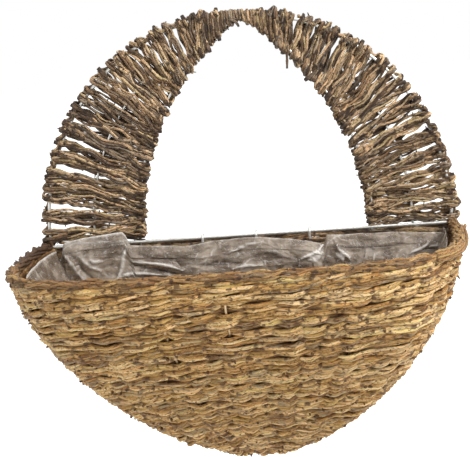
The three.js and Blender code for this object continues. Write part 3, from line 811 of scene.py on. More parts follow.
def rail():
    end = HOOP_HALF_WIDTH + FRAME_WIRE
    path = [[-end, -RAIL_SETBACK, 0.0], [end, -RAIL_SETBACK, 0.0]]
    round_wire("rail", path, FRAME_WIRE, "back_rail")


def rim_core():
    round_wire("rim_core_wire", plan_curve(RIM_SETBACK, RIM_SAMPLES), FRAME_WIRE, "rim_wire")


def rib_share(index):
    return (index + RIBS_EACH_SIDE) / (2 * RIBS_EACH_SIDE)


def rib_end(index):
    """The level at which a rib stops. Every second one is short."""
    return SHORT_RIB_SHARE if (index + RIBS_EACH_SIDE) % 2 else LONG_RIB_SHARE


def ribs():
    for number, index in enumerate(RIB_INDICES, 1):
        path = bowl(rib_share(index), rib_end(index) * quarter(RIB_SAMPLES))
        round_wire(f"rib_{number}", path, RIB_WIRE, f"front_rib_{number}", material=STAINED_WIRE)


# Bowl weave: twined rows, two plies that pass in front of and behind each rib and turn round each other

BOWL_GROUPS = 8
BOWL_TWIG_SIDES = 7
BOWL_TWIG_RADII = (1.8, 1.5, 1.7)
BOWL_TWIG_SPACING = 2.6
BOWL_TWIG_LENGTH = (60.0, 170.0)
LAST_ROW_LEVEL = 0.975
LEVEL_STEP = 0.01
PITCH_SHARES = (0.0, 0.25, 0.5)
ROW_SAMPLES = 600
ROW_RAISE = 1.3
ROW_JITTER = 0.6
ROW_WANDER, ROW_WANDER_REACH = 0.7, 55.0
PLY_RISE = 1.3
PLY_DEPTH = 2.0
PLY_WANDER, PLY_WANDER_REACH = 0.5, 28.0
WIDE_RIB_GAP = 40.0
RIB_REACH = 5.0

# Ribs that show in the photograph, with the drops between which every third row passes behind them
BARE_RIBS = {-1: (37.0, 93.0), 0: (18.0, 60.0)}
BARE_EVERY = 3
BARE_DIP = 2.0
BARE_REACH = 6.0
BARE_FLATNESS = 0.9

# How far a row's turn stands off the hoop wire
HOOP_TURN_GAP = 1.9

# Cut ends of the bowl's twigs: how many stand at which shares of a row
CUT_END_PLACES = (((0.0, 0.17), 5), ((0.83, 1.0), 6), ((0.17, 0.83), 5))
CUT_END_RADIUS = (0.9, 1.6)
CUT_END_LENGTH = (1.8, 4.4)
CUT_END_RADII_SHARES = np.array([1.0, 1.05, 1.1, 1.0, 0.75])
CUT_END_SCAR_SHARES = np.array([0.3, 0.5, 0.7, 0.9, 1.0])


def row_levels():
    """The levels of the rows. Their pitch holds on the mean of three places along the rim."""
    levels = [TOP_ROW_DROP / BOWL_HEIGHT, FIRST_DROP / BOWL_HEIGHT]
    while levels[-1] < LAST_ROW_LEVEL:
        level = levels[-1]
        steps = [bowl(share, level + LEVEL_STEP) - bowl(share, level) for share in PITCH_SHARES]
        spread = [np.linalg.norm(step) for step in steps]
        levels.append(level + LEVEL_STEP * ROW_PITCH / np.mean(spread))
    return levels


def twined_row(rng, level, number):
    """The two plies of a row, from the hoop on the left to the hoop on the right, and the way up beside them.

    One ply passes in front of each rib and the other behind it, and they cross one to three times in between.
    """
    share = np.linspace(0.0, 1.0, ROW_SAMPLES)
    centre = bowl(share, level)
    _, upward, face = bowl_directions(share, level)
    length = lengths_along(centre)
    centre = centre + upward * (ROW_WANDER * noise_along(rng, length, ROW_WANDER_REACH))[:, None]
    active = [index for index in RIB_INDICES if rib_end(index) > level]
    rib_lengths = np.interp([rib_share(index) for index in active], share, length)
    turns = [0.0]
    for gap in np.diff(rib_lengths):
        most = 3 if gap > WIDE_RIB_GAP else 2
        turns.append(turns[-1] + int(rng.integers(1, most + 1)))
    angle = math.pi * (np.interp(length, rib_lengths, turns) + rng.uniform(-0.1, 0.1))
    angle = angle + PLY_WANDER * noise_along(rng, length, PLY_WANDER_REACH)
    beside = np.min(np.abs(length[:, None] - rib_lengths[None]), axis=1)
    behind = np.zeros(len(length))
    for index, (first, last) in BARE_RIBS.items():
        if number % BARE_EVERY == 0 and first < level * BOWL_HEIGHT < last:
            behind += bell(length - rib_lengths[active.index(index)], BARE_REACH)
    depth = (PLY_DEPTH + RIB_WIRE * bell(beside, RIB_REACH)) * (1 - BARE_FLATNESS * behind)
    plies = []
    for sign in (1, -1):
        out = face * (sign * depth * np.cos(angle) - BARE_DIP * behind)[:, None]
        rise = upward * (sign * (PLY_RISE * np.sin(angle) * (1 - behind) + BARE_DIP * behind))[:, None]
        # Painted shade on the ply where it passes behind the other ply, into the weave.
        deep = np.clip(0.55 - sign * np.cos(angle), 0.0, 1.0)
        plies.append(np.hstack([centre + out + rise, deep[:, None]]))
    return plies, upward


def hoop_turn(level, side, ply_start, ply_end):
    """The way from one ply's end round the hoop wire to the other ply's end."""
    hoop_x = side * hoop_half_width(level)
    reach = FRAME_WIRE + HOOP_TURN_GAP
    z = -BOWL_HEIGHT * level
    around = [
        [hoop_x + side * reach, -1.0, z, 0.0],
        [hoop_x + side * reach * 0.75, reach * 0.75, z, 0.0],
        [hoop_x, reach * 1.05, z, 0.0],
        # The point behind the hoop wire gets half of the painted shade.
        [hoop_x - side * reach * 0.9, reach * 0.4, z, 0.5],
    ]
    return np.vstack([ply_start[None], around, ply_end[None]])


def add_bowl_ends(strands, rng, level):
    """Dark cut ends that stand out of a row: most near its two ends, a few anywhere."""
    steps = np.linspace(0.0, 1.0, len(CUT_END_RADII_SHARES))[:, None]
    for share in np.concatenate([rng.uniform(*shares, count) for shares, count in CUT_END_PLACES]):
        along, upward, face = bowl_directions(share, level)
        direction = unit(face + 0.5 * rng.normal() * along + 0.4 * rng.normal() * upward)
        base = bowl(share, level) + upward * rng.uniform(-3.0, 3.0) + face * 1.5
        tone = loose_tone(rng, 0.4)
        radii = rng.uniform(*CUT_END_RADIUS) * CUT_END_RADII_SHARES
        scars = rng.uniform(0.4, 1.0) * CUT_END_SCAR_SHARES
        strands.add(base + direction * steps * rng.uniform(*CUT_END_LENGTH), radii, tone, scars)


def bowl_rows():
    """All rows of the bowl, sorted by height into one mesh for each weaver of the solid."""
    sets = [Strands(BOWL_TWIG_SIDES) for _ in range(BOWL_GROUPS)]
    tops = [-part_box(f"front_weaver_{group + 1}")[1].z for group in range(BOWL_GROUPS)]
    tops = [(top * METRE - SEAT_HEIGHT) / BOWL_HEIGHT for top in tops]
    for number, level in enumerate(row_levels()):
        rng = np.random.default_rng(BOWL_SEED + number)
        strands = sets[max(sum(level > top for top in tops) - 1, 0)]
        raised = level + ROW_JITTER * rng.uniform(-1, 1) / BOWL_HEIGHT - ROW_RAISE / BOWL_HEIGHT
        (first, second), upward = twined_row(rng, max(raised, LEVEL_STEP), number)
        left_turn = hoop_turn(level, -1, first[0], second[0])
        right_turn = hoop_turn(level, 1, second[-1], first[-1])
        for run in (np.vstack([left_turn[:0:-1], first]), np.vstack([second, right_turn[1:]])):
            path = rounded(evenly(run, 6.0), 1.0)
            nearest = np.linspace(0, len(upward) - 1, len(path)).astype(int)
            across = upward[nearest]
            lines = bundle(rng, path, across, len(BOWL_TWIG_RADII), BOWL_TWIG_SPACING, twist=0.6, stray=0.4)
            for line, radius in zip(lines, rng.permutation(BOWL_TWIG_RADII)):
                add_run(strands, rng, line, radius * rng.uniform(0.9, 1.1), BOWL_LOOK, BOWL_TWIG_LENGTH)
        add_bowl_ends(strands, rng, level)
    for number, strands in enumerate(sets, 1):
        strands.build(f"bowl_weave_{number}", BOWL_TWIG, "peeled_willow", [f"front_weaver_{number}"])


# Arch and back panel: bundles that run to and fro

ARCH_TWIG_SIDES = 6
ARCH_TWIG_LENGTH = (70.0, 220.0)
ARCH_TWIG_SPREAD = (0.8, 1.15)
WEAVE_GAP = 0.3
END_OVERHANG = 5.0
RUN_POINT_SPACING = 1.5

# A turn's three points: how far in front of the weave and how far up to the next row as shares, and how close
# its twigs are gathered
TURN_DEPTH_SHARES = (-0.7, 0.7, 1.0)
TURN_RISE_SHARES = (0.02, 0.2, 0.65)
TURN_GATHER_SHARES = (0.35, 0.35, 0.5)
TURN_PROUD_SHARE = 1.2
TURN_PROUD = (0.6, 3.0)
TURN_LAST_OUT = 0.5

# Sway: the stretch of the weave that it covers, its step, and how far its phase drifts
SWAY_LOWEST = -300.0
SWAY_HEIGHT = 700.0
SWAY_STEP = 6.0
SWAY_DRIFT = 3.0

# Arch rows: how far their ends stray as a share of the step, the width below which they skip the middle
# wire, how far the way up the weave may lean, and how far the uppermost row reaches under the binding
ROW_END_STRAY_SHARE = 0.28
NARROW_ROW = 26.0
CLIMB_LEAN = 0.4
BINDING_OVERLAP = 14.0

# Back rows
BACK_LAST_LEVEL = 0.985
BACK_EDGE_GAP = 16.0
BACK_LEFT = 200.0

# Knobs and cut ends at the edges
WRAP_POINTS = 14
WRAP_TURNS = (0.85, 1.15)
WRAP_CLIMB = (-0.9, 0.9)
WRAP_OFFSET = (0.6, 2.2)
WRAP_OUT = 0.8
WRAP_RADIUS = 1.4
STUB_CHANCE = 0.75
STUB_INSET = 4.0
STUB_LENGTH = (8.5, 12.5)
STUB_RADIUS_SHARE = (1.1, 1.5)
STUB_RADII_SHARES = np.array([1.0, 1.0, 1.1, 1.2, 1.3, 1.1])


def make_stop(centre, upward, out, wire):
    """A place where a row passes a wire: the way up the weave, the way out past the wire, and how far off."""
    return {"centre": centre, "upward": upward, "out": out, "reach": wire + ARCH_TWIG_RADIUS + WEAVE_GAP}


def to_and_fro(rng, rows, start_side):
    """Control points and side directions of a strand that goes to and fro, turning round the end wires."""
    points, across = [], []
    side = start_side

    def put(stop, out, depth, rise=0.0, following=None, gather=1.0):
        centre = stop["centre"]
        if following is not None:
            centre = centre * (1 - rise) + following["centre"] * rise
        points.append(centre + stop["out"] * out + OUT_OF_WALL * depth)
        across.append(stop["upward"] * gather)

    for index, row in enumerate(rows):
        stops = row[::-1] if index % 2 else row
        if index == 0:
            put(stops[0], END_OVERHANG, side * stops[0]["reach"])
        for stop in stops:
            put(stop, 0.0, side * stop["reach"])
            side = -side
        last = stops[-1]
        if index == len(rows) - 1:
            put(last, END_OVERHANG, -side * last["reach"])
            break
        following = rows[index + 1][0] if index % 2 else rows[index + 1][-1]
        proud = last["reach"] * TURN_PROUD_SHARE + rng.uniform(*TURN_PROUD)
        outs = (proud, proud, TURN_LAST_OUT)
        for out, depth, rise, gather in zip(outs, TURN_DEPTH_SHARES, TURN_RISE_SHARES, TURN_GATHER_SHARES):
            put(last, out, depth * side * last["reach"], rise, following, gather)
    return np.array(points), np.array(across)


def sway(rng, points, weave):
    """How far two runs sway apart, from -1 to 1.

    Both runs of a pair get the same sway at the same place, so that they cross each other there.
    """
    along, up_the_weave = weave.places(points)
    steps = np.arange(0.0, SWAY_HEIGHT, SWAY_STEP)
    drift = SWAY_DRIFT * rng.uniform(-1.0, 1.0, len(steps))
    phase = np.interp(up_the_weave - SWAY_LOWEST, steps, drift)
    return np.cos(math.pi * along / weave.half_wave + phase)


def arch_places(points):
    """How far in from the hoop and how far up the arch each point lies."""
    x, height = points[:, 0], points[:, 2] - HOOP_CENTRE_HEIGHT
    return HOOP_RADIUS - np.hypot(x, height), HOOP_RADIUS * np.arctan2(height, np.abs(x))


def back_places(points):
    """How far along a row and how far up the back panel each point lies."""
    return points[:, 0] + BACK_LEFT, points[:, 2]


class Weave:
    """What the runs of a flat panel are made of."""

    def __init__(self, look, places, count, radius, spacing, twist, stray, apart, half_wave):
        self.look = look
        self.places = places
        self.count = count
        self.radius = radius
        self.spacing = spacing
        self.twist = twist
        self.stray = stray
        self.apart = apart
        self.half_wave = half_wave


ARCH_WEAVE = Weave(
    look=ARCH_LOOK, places=arch_places, count=3, radius=ARCH_TWIG_RADIUS, spacing=2.2,
    twist=0.35, stray=0.35, apart=1.9, half_wave=23.0,
)
BACK_WEAVE = Weave(
    look=BACK_LOOK, places=back_places, count=4, radius=1.6, spacing=2.5,
    twist=0.15, stray=0.20, apart=1.6, half_wave=40.0,
)


def add_pair(strands, rng, rows, start_side, weave):
    """Two runs of twigs over the same rows, on opposite sides of each wire, that turn at opposite ends."""
    other_rows = [row[::-1] for row in rows]
    other_side = -start_side if len(rows[0]) % 2 else start_side
    seed = rng.integers(1 << 30)
    for chosen, side, sign in ((rows, start_side, 1), (other_rows, other_side, -1)):
        path = rounded(np.hstack(to_and_fro(rng, chosen, side)), RUN_POINT_SPACING)
        line, across = path[:, :3], path[:, 3:]
        lift = sign * weave.apart * sway(np.random.default_rng(seed), line, weave)
        middle = line + unit(across) * lift[:, None]
        paths = bundle(rng, middle, across, weave.count, weave.spacing, weave.twist, weave.stray)
        add_runs(strands, rng, paths, weave.radius, ARCH_TWIG_SPREAD, weave.look, ARCH_TWIG_LENGTH)


def arch_row(rng, side, share, step):
    """A row's stops at the outer, middle and inner wire. Its two ends stray a little from even spacing."""
    stray = step * ROW_END_STRAY_SHARE
    outer = arch_ends(side, share + rng.uniform(-stray, stray))[0]
    inner = arch_ends(side, share + rng.uniform(-stray, stray))[1]
    towards_inner = unit(inner - outer)
    upward = np.cross(towards_inner, OUT_OF_WALL) * side
    upward = upward if upward[2] > CLIMB_LEAN * side * upward[0] else -upward
    stops = [make_stop(outer, upward, -towards_inner, FRAME_WIRE)]
    if np.linalg.norm(inner - outer) > NARROW_ROW:
        stops.append(make_stop((outer + inner) / 2, upward, towards_inner, RIB_WIRE))
    stops.append(make_stop(inner, upward, towards_inner, RIB_WIRE))
    return stops


def row_between(first, second):
    """A row with two stops, halfway between two rows."""
    ends = ((first[0], second[0]), (first[-1], second[-1]))
    return [{**above, "centre": (below["centre"] + above["centre"]) / 2} for below, above in ends]


def add_turn(strands, rng, stop):
    """A twig wound once round an edge wire."""
    climb = rng.uniform(*WRAP_CLIMB)
    reach = stop["reach"] + rng.uniform(*WRAP_OFFSET)
    turn = np.linspace(0.0, 2 * math.pi * rng.uniform(*WRAP_TURNS), WRAP_POINTS) + rng.uniform(*START_ANGLES)
    rise = climb + np.linspace(-1.0, 1.0, WRAP_POINTS) * rng.choice([-1, 1])
    path = (
        stop["centre"]
        + stop["upward"] * rise[:, None]
        + stop["out"] * (reach * np.cos(turn) + WRAP_OUT)[:, None]
        + OUT_OF_WALL * (reach * np.sin(turn))[:, None]
    )
    add_twig(strands, rng, path, WRAP_RADIUS, WRAP_LOOK)


def add_stub(strands, rng, stop):
    """The cut end of a twig, which sticks out past an edge wire."""
    base = stop["centre"] + stop["upward"] * rng.uniform(-2.0, 2.0) - stop["out"] * STUB_INSET
    side = OUT_OF_WALL * rng.uniform(-0.4, 1.0) * stop["reach"]
    direction = unit(stop["out"] + 0.3 * rng.normal(size=3))
    share = np.linspace(0.0, 1.0, len(STUB_RADII_SHARES))
    path = base + side + direction * share[:, None] * rng.uniform(*STUB_LENGTH)
    tone = loose_tone(rng, 0.5)
    radii = ARCH_TWIG_RADIUS * rng.uniform(*STUB_RADIUS_SHARE) * STUB_RADII_SHARES
    strands.add(path, radii, tone, (0.95 * share) ** 2)


def add_knobs(strands, rng, rows):
    """Knobs at both edges, where each row's twigs are wound round the wire, and cut ends that stick out."""
    for row in rows:
        for stop in (row[0], row[-1]):
            add_turn(strands, rng, stop)
            if rng.uniform() < STUB_CHANCE:
                add_stub(strands, rng, stop)


def shared_out(rows, prefix):
    """Shares rows out in order to the CAD weavers whose names start with a prefix."""
    nodes = sorted(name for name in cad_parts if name.startswith(prefix))
    size = math.ceil(len(rows) / len(nodes))
    return [(group, node, rows[group * size:(group + 1) * size]) for group, node in enumerate(nodes)]


def arch_weave():
    length = (math.pi / 2 - ARCH_START_ANGLE) * HOOP_RADIUS
    last = 1 - (BINDING_WIDTH / 2 - BINDING_OVERLAP) / length
    count = int(last * length / ARCH_PITCH) + 1
    step = last / (count - 1)
    shares = [step * i for i in range(count)]
    for side, side_name in ((-1, "left"), (1, "right")):
        for group, node, group_shares in shared_out(shares, f"{side_name}_arch_weaver"):
            rng = np.random.default_rng(ARCH_SEED + 10 * group + side)
            strands = Strands(ARCH_TWIG_SIDES)
            part = [arch_row(rng, side, share, step) for share in group_shares]
            wide = [row for row in part if len(row) == 3]
            narrow = [row for row in part if len(row) == 2]
            if wide and narrow:
                narrow = [row_between(wide[-1], narrow[0])] + narrow
            for rows in (wide, narrow):
                if rows:
                    add_pair(strands, rng, rows, 1 if group % 2 else -1, ARCH_WEAVE)
            add_knobs(strands, rng, part)
            strands.build(f"{side_name}_arch_weave_{group + 1}", ARCH_TWIG, "dark_twig", [node])


def back_row(drop, warps):
    """A row's stops at the hoop and at the wires between."""
    half = float(hoop_half_width(drop / BOWL_HEIGHT))
    inner = sorted(x for x in warps if abs(x) < half - BACK_EDGE_GAP)
    places = [(-half, -1.0, FRAME_WIRE)] + [(x, 1.0, RIB_WIRE) for x in inner] + [(half, 1.0, FRAME_WIRE)]
    stops = []
    for x, out, wire in places:
        stops.append(make_stop(np.array([x, 0.0, -drop]), UP, np.array([out, 0.0, 0.0]), wire))
    return stops


def back_panel():
    warps = [INNER_OFFSET + index * UPRIGHT_SPACING for index in (-1, 0, 1)]
    for side in (-1, 1):
        outer, inner = arch_ends(side, 0.0)
        warps += [inner[0], (inner[0] + outer[0]) / 2]
    drops = np.arange(FIRST_DROP - ROW_PITCH / 2, BOWL_HEIGHT * BACK_LAST_LEVEL, ROW_PITCH)
    for group, node, group_drops in shared_out(drops, "back_weaver"):
        rng = np.random.default_rng(BACK_SEED + group)
        strands = Strands(ARCH_TWIG_SIDES)
        rows = [back_row(drop, warps) for drop in group_drops]
        add_pair(strands, rng, rows, 1 if group % 2 else -1, BACK_WEAVE)
        strands.build(f"back_weave_{group + 1}", ARCH_TWIG, "dark_twig", [node])


# Binding at the peak

BINDING_PITCH = 4.4
BINDING_TURN_POINTS = 24
BINDING_OFFSET = 1.3
BINDING_RADIUS = 1.3
BINDING_WANDER, BINDING_WANDER_REACH = 0.5, 40.0
BINDING_TURN_RADIUS = 3.0
BINDING_TWIG_LENGTH = (90.0, 200.0)
LOOSE_END_RADIUS = 1.1

# Two ends of twigs that hang into the arch's window, each by three points
LOOSE_ENDS = [
    [(-3.0, -4.0, 200.5), (2.5, -5.5, 198.0), (5.5, -5.5, 193.0)],
    [(47.7, -4.0, 167.0), (47.6, -5.5, 159.0), (46.8, -5.5, 152.0)],
]


def peak_binding():
    """Twigs wound round the hoop and both inner wires at the peak."""
    rng = np.random.default_rng(BINDING_SEED)
    strands = Strands(ARCH_TWIG_SIDES)
    turns = BINDING_WIDTH / BINDING_PITCH
    angle = np.linspace(-math.pi * turns, math.pi * turns, int(turns * BINDING_TURN_POINTS))
    offset = BINDING_WIDTH * angle / (2 * math.pi * turns)
    outer = HOOP_CENTRE_HEIGHT + HOOP_RISE * np.sqrt(1 - ((INNER_OFFSET + offset) / HOOP_RADIUS) ** 2)
    widening = INNER_HALF_WIDTH - INNER_TIP_HALF_GAP
    openness = np.maximum(0.0, (np.abs(offset) - INNER_TIP_HALF_GAP) / widening)
    inner = INNER_TIP_HEIGHT * (1 - openness ** (1 / INNER_WIDTH_POWER)) ** (1 / INNER_HEIGHT_POWER)
    wound = np.abs(angle - angle[0]) * BINDING_TURN_RADIUS
    reach = FRAME_WIRE + BINDING_OFFSET + BINDING_WANDER * noise_along(rng, wound, BINDING_WANDER_REACH)
    rise = np.sin(angle - math.pi / 2)
    flat = (outer - inner) / 2 * np.clip(np.abs(rise) * 3, 0, 1)
    height = (outer + inner) / 2 + np.sign(rise) * flat + rise * reach
    path = np.stack([INNER_OFFSET + offset, reach * np.cos(angle - math.pi / 2), height], axis=1)
    across = np.tile([1.0, 0.0, 0.0], (len(path), 1))
    for line in bundle(rng, path, across, count=2, spacing=2.2, twist=0.5, stray=0.35):
        add_run(strands, rng, line, BINDING_RADIUS, BINDING_LOOK, BINDING_TWIG_LENGTH)
    for loose_end in LOOSE_ENDS:
        add_twig(strands, rng, rounded(loose_end, 1.0), LOOSE_END_RADIUS, WRAP_LOOK)
    strands.build("peak_winding", ARCH_TWIG, "dark_twig", ["peak_binding"])


# Rope border: two plies of thin twigs, six more twigs over the rim wire, and the last ones laid flat

ROPE_SIDES = 8
ROPE_SETBACK = 0.5
ROPE_TWIST_LENGTH = 23.0
ROPE_TWIST_WANDER, ROPE_TWIST_REACH = 0.5, 60.0
ROPE_PLY_WANDER, ROPE_PLY_WANDER_REACH = 0.3, 35.0
ROPE_PLY_OFFSET = 2.6
ROPE_PLY_TWIGS = 4
ROPE_TWIG_OFFSET = 1.5
ROPE_PLY_TURN = 90.0
ROPE_TWIG_RADIUS = 1.3
ROPE_TWIG_SPREAD = (0.85, 1.15)
ROPE_TWIG_LENGTH = (40.0, 110.0)
CORE_TWIGS = 6
CORE_TWIG_OFFSET = 2.7
CORE_TURN = 160.0
CORE_TWIG_RADIUS = 1.4
CORE_TWIG_SPREAD = (0.9, 1.15)
CORE_TWIG_LENGTH = (70.0, 200.0)

# Points that the rope's two ends pass at the hoop, a little in front of it and above the rail
ROPE_END_INSET = 1.5
ROPE_LEFT_END = [[-HOOP_HALF_WIDTH + ROPE_END_INSET, -1.0, height] for height in (6.0, 4.0)]
ROPE_RIGHT_END = [[HOOP_HALF_WIDTH - ROPE_END_INSET, -2.0, 1.0]]

# The rope bulges out at the left corner, and shade is painted on its twigs towards the hoop there
LEFT_BULGE, LEFT_BULGE_START, LEFT_BULGE_REACH = 3.0, 150.0, 40.0
SHADE_X_START, SHADE_X_REACH = 115.0, 45.0
SHADE_Y_START, SHADE_Y_REACH = -150.0, 55.0

# The last twigs: where they lie along the rim, how far out of the wall and above it, and where they end
LAST_SHARES = (0.76, 0.97)
LAST_POINTS = 14
LAST_OUT = 4.6
LAST_RISE = (1.5, -2.0)
LAST_EDGE = HOOP_HALF_WIDTH + SWELL[1] / 2 + 5.0
LAST_END = [[LAST_EDGE + 1.0, -9.0, -3.5], [LAST_EDGE + 1.5, -6.0, -3.2], [LAST_EDGE + 1.5, -3.0, -3.0]]
LAST_LENGTH = (300.0, 400.0)
LAST_SPREAD = (0.9, 1.1)


def cabled(path, count, reach, turn_length, start):
    """Paths of several twigs twisted together round one path, with the border's painted shade."""
    lengths = lengths_along(path)
    _, normals, binormals = carried_frames(path)
    paths = []
    for place in range(count):
        angle = start + 2 * math.pi * (place / count + lengths / turn_length)
        line = path + reach * (normals * np.cos(angle)[:, None] + binormals * np.sin(angle)[:, None])
        paths.append(with_shade(line))
    return paths


def with_shade(path):
    """Paints shade on the border towards the hoop on the left, as a fourth column of the path."""
    shade = ramp(-path[:, 0], SHADE_X_START, SHADE_X_REACH) * ramp(path[:, 1], SHADE_Y_START, SHADE_Y_REACH)
    return np.hstack([path, shade[:, None]])


def rope_border():
    """Two plies twisted round the rim wire, from the hoop on the left to the hoop on the right."""
    rim = plan_curve(ROPE_SETBACK, RIM_SAMPLES)
    rim[:, 0] -= LEFT_BULGE * ramp(-rim[:, 0], LEFT_BULGE_START, LEFT_BULGE_REACH) ** 2
    centre = rounded(evenly(np.vstack([ROPE_LEFT_END, rim, ROPE_RIGHT_END]), 5.0), 1.0)
    lengths = lengths_along(centre)
    tangents = unit(np.gradient(centre, axis=0))
    sideways = unit(np.cross(tangents, UP + 0.01))
    upward = np.cross(sideways, tangents)
    wander = np.random.default_rng(ROPE_SEED)
    angle = math.pi * lengths / ROPE_TWIST_LENGTH
    angle = angle + ROPE_TWIST_WANDER * noise_along(wander, lengths, ROPE_TWIST_REACH)
    reach = ROPE_PLY_OFFSET + ROPE_PLY_WANDER * noise_along(wander, lengths, ROPE_PLY_WANDER_REACH)
    for sign, name in ((1, "outer"), (-1, "inner")):
        rng = np.random.default_rng(ROPE_SEED + 10 + sign)
        strands = Strands(ROPE_SIDES)
        out = sideways * (sign * reach * np.cos(angle))[:, None]
        rise = upward * (sign * reach * np.sin(angle))[:, None]
        start = rng.uniform(*START_ANGLES)
        paths = cabled(centre + out + rise, ROPE_PLY_TWIGS, ROPE_TWIG_OFFSET, ROPE_PLY_TURN, start)
        add_runs(strands, rng, paths, ROPE_TWIG_RADIUS, ROPE_TWIG_SPREAD, ROPE_LOOK, ROPE_TWIG_LENGTH)
        if name == "outer":
            border_end(strands)
        else:
            core = plan_curve(RIM_SETBACK, RIM_SAMPLES)
            paths = cabled(core, CORE_TWIGS, CORE_TWIG_OFFSET, CORE_TURN, 0.0)
            add_runs(strands, rng, paths, CORE_TWIG_RADIUS, CORE_TWIG_SPREAD, ROPE_LOOK, CORE_TWIG_LENGTH)
        strands.build(f"rope_ply_{name}", ROPE_TWIG, "rope_border", [f"rim_rope_strand_{name}"])


def border_end(strands):
    """The border's last twigs, laid flat along the right corner and past the hoop."""
    rng = np.random.default_rng(ROPE_SEED + 30)
    share = np.linspace(*LAST_SHARES, LAST_POINTS)
    _, _, face = bowl_directions(share, 0.0)
    flat = bowl(share, 0.0) + face * LAST_OUT + UP * np.linspace(*LAST_RISE, LAST_POINTS)[:, None]
    path = rounded(np.vstack([flat, LAST_END]), 1.0)
    across = np.linspace([-0.2, 0.3, 0.9], [-1.0, -0.3, 0.2], len(path))
    paths = bundle(rng, path, across, count=4, spacing=2.7, twist=0.25, stray=0.2)
    add_runs(strands, rng, paths, CORE_TWIG_RADIUS, LAST_SPREAD, END_LOOK, LAST_LENGTH)


# Film liner

FILM_INSET = 8.8
FILM_SETBACK = 9.1
FILM_DEPTH = BOWL_HEIGHT - FILM_INSET
FRONT_POINTS = 240
BACK_POINTS = 260
FRONT_SHARE = 0.75
FRONT_EDGE = -3.0

# Levels of the film below its edge: they lie closer towards both ends
LEVEL_COUNT = 175
LEVEL_POWER = 1.2
LEVEL_END_SHARE = 0.995
LEVEL_LIMIT = 0.9995
MIDDLE_DEPTH_SHARE = 0.42

# The hem inside the edge: its width, its rows as shares of it, and how far each row stands off
HEM_WIDTH = 11.0
HEM_WANDER, HEM_WANDER_REACH = 2.5, 60.0
HEM_ROW_SHARES = (1.0, 0.75, 0.5, 0.25, 0.08)
HEM_ROW_GAPS = (1.9, 1.7, 1.4, 1.0, 0.7)
HEM_LINE_REACH = 0.7

# Slack folds and creases: depths, periods and how many of the creases run level. Creases grow to their full
# depth below the edge and fade out before the bottom.
FOLD_DEPTH = 8.0
LARGE_CREASE, LARGE_PERIOD = 6.0, 30.0
SMALL_CREASE, SMALL_PERIOD = 2.4, 11.0
EDGE_CREASE, EDGE_PERIOD, EDGE_DROP, EDGE_REACH = 1.5, 26.0, 0.7, 30.0
LEVEL_CREASES_SHARE = 0.6
LEVEL_EDGE_CREASES_SHARE = 0.2
CREASES_EACH = 3
SETTLE_REACH = 22.0
SETTLE_END, SETTLE_END_REACH = 190.0, 60.0

# Folds of the film's back that stand out in the photograph: two ends as x and z, how far the fold stands out,
# its width, and how strong a highlight is painted along it. Below 0 a shade is painted along it instead.
FILM_FOLDS = [
    ((-176, -5), (-155, -32), 3.0, 2.6, 0.45),
    ((-170, -7), (-147, -32), -2.0, 2.4, -0.9),
    ((-161, -9), (-141, -24), 2.0, 2.0, 0.35),
    ((-150, -12), (-138, -16), 2.0, 1.3, 0.9),
    ((-113, -2), (-127, -33), 2.5, 2.0, 0.45),
    ((-111, -16), (-62, -27), 3.0, 1.8, 1.0),
    ((-123, -29), (-77, -30), 3.0, 1.6, 1.0),
    ((-112, -22), (-66, -30), -2.0, 2.0, -0.9),
    ((-105, -12), (-70, -17), -1.5, 1.8, -0.7),
    ((-62, -14), (-30, -17), 1.5, 1.4, 0.5),
    ((-52, -22), (-12, -25), -1.5, 2.6, -0.6),
    ((-22, -13), (12, -6), 2.0, 1.6, 0.8),
    ((-19, -29), (11, -26), 2.0, 1.6, 0.8),
    ((14, -16), (40, -22), 1.5, 1.8, -0.6),
    ((46, -26), (68, -13), 3.0, 1.8, 1.0),
    ((54, -26), (68, -20), 1.5, 3.2, 0.9),
    ((81, -12), (92, -28), 3.0, 1.6, 1.0),
    ((81, -20), (86, -28), 1.0, 3.0, 0.8),
    ((106, -12), (105, -29), 1.5, 0.9, -0.7),
    ((128, -14), (127, -29), 1.5, 0.9, -0.6),
    ((147, -27), (167, -14), 2.5, 1.8, 0.8),
    ((166, -21), (182, -15), 2.0, 1.6, 0.8),
]
FOLD_BOW = 1.2

# Height of the film's edge along the back, as x and z
FILM_TOP = np.array([
    [-182.0, -12.0], [-178.0, -10.0], [-175.0, 3.0], [-173.0, 5.0], [-148.0, 9.0], [-118.0, 11.5],
    [-115.0, 8.0], [-112.0, -1.0], [-90.0, -3.5], [-55.0, -5.5], [-36.0, -3.0], [-10.0, -1.5], [11.0, -1.8],
    [38.0, -5.0], [57.0, -8.0], [69.0, -12.0], [72.0, -3.4], [130.0, -4.3], [178.0, -7.8],
])

# Where along x the hem's line shows through as a painted shade line, and how light the flap on the left looks
HEM_LINE_X, HEM_LINE_SHARES = [-170, -160, -122, -112, 74, 82, 140, 150], [0, 1, 1, 0, 0, 1, 1, 0]
FLAP_X, FLAP_LIGHT = [-172, -164, -118, -112], [0.28, 0.32, 0.32, 0.0]
# How dark the shade painted along the hem's line is
HEM_LINE_PAINTED_SHADE = 0.8
# A highlight painted along the film's top edge, and the depth below the edge over which it fades
EDGE_PAINTED_HIGHLIGHT, EDGE_PAINTED_HIGHLIGHT_REACH = 0.6, 3.0


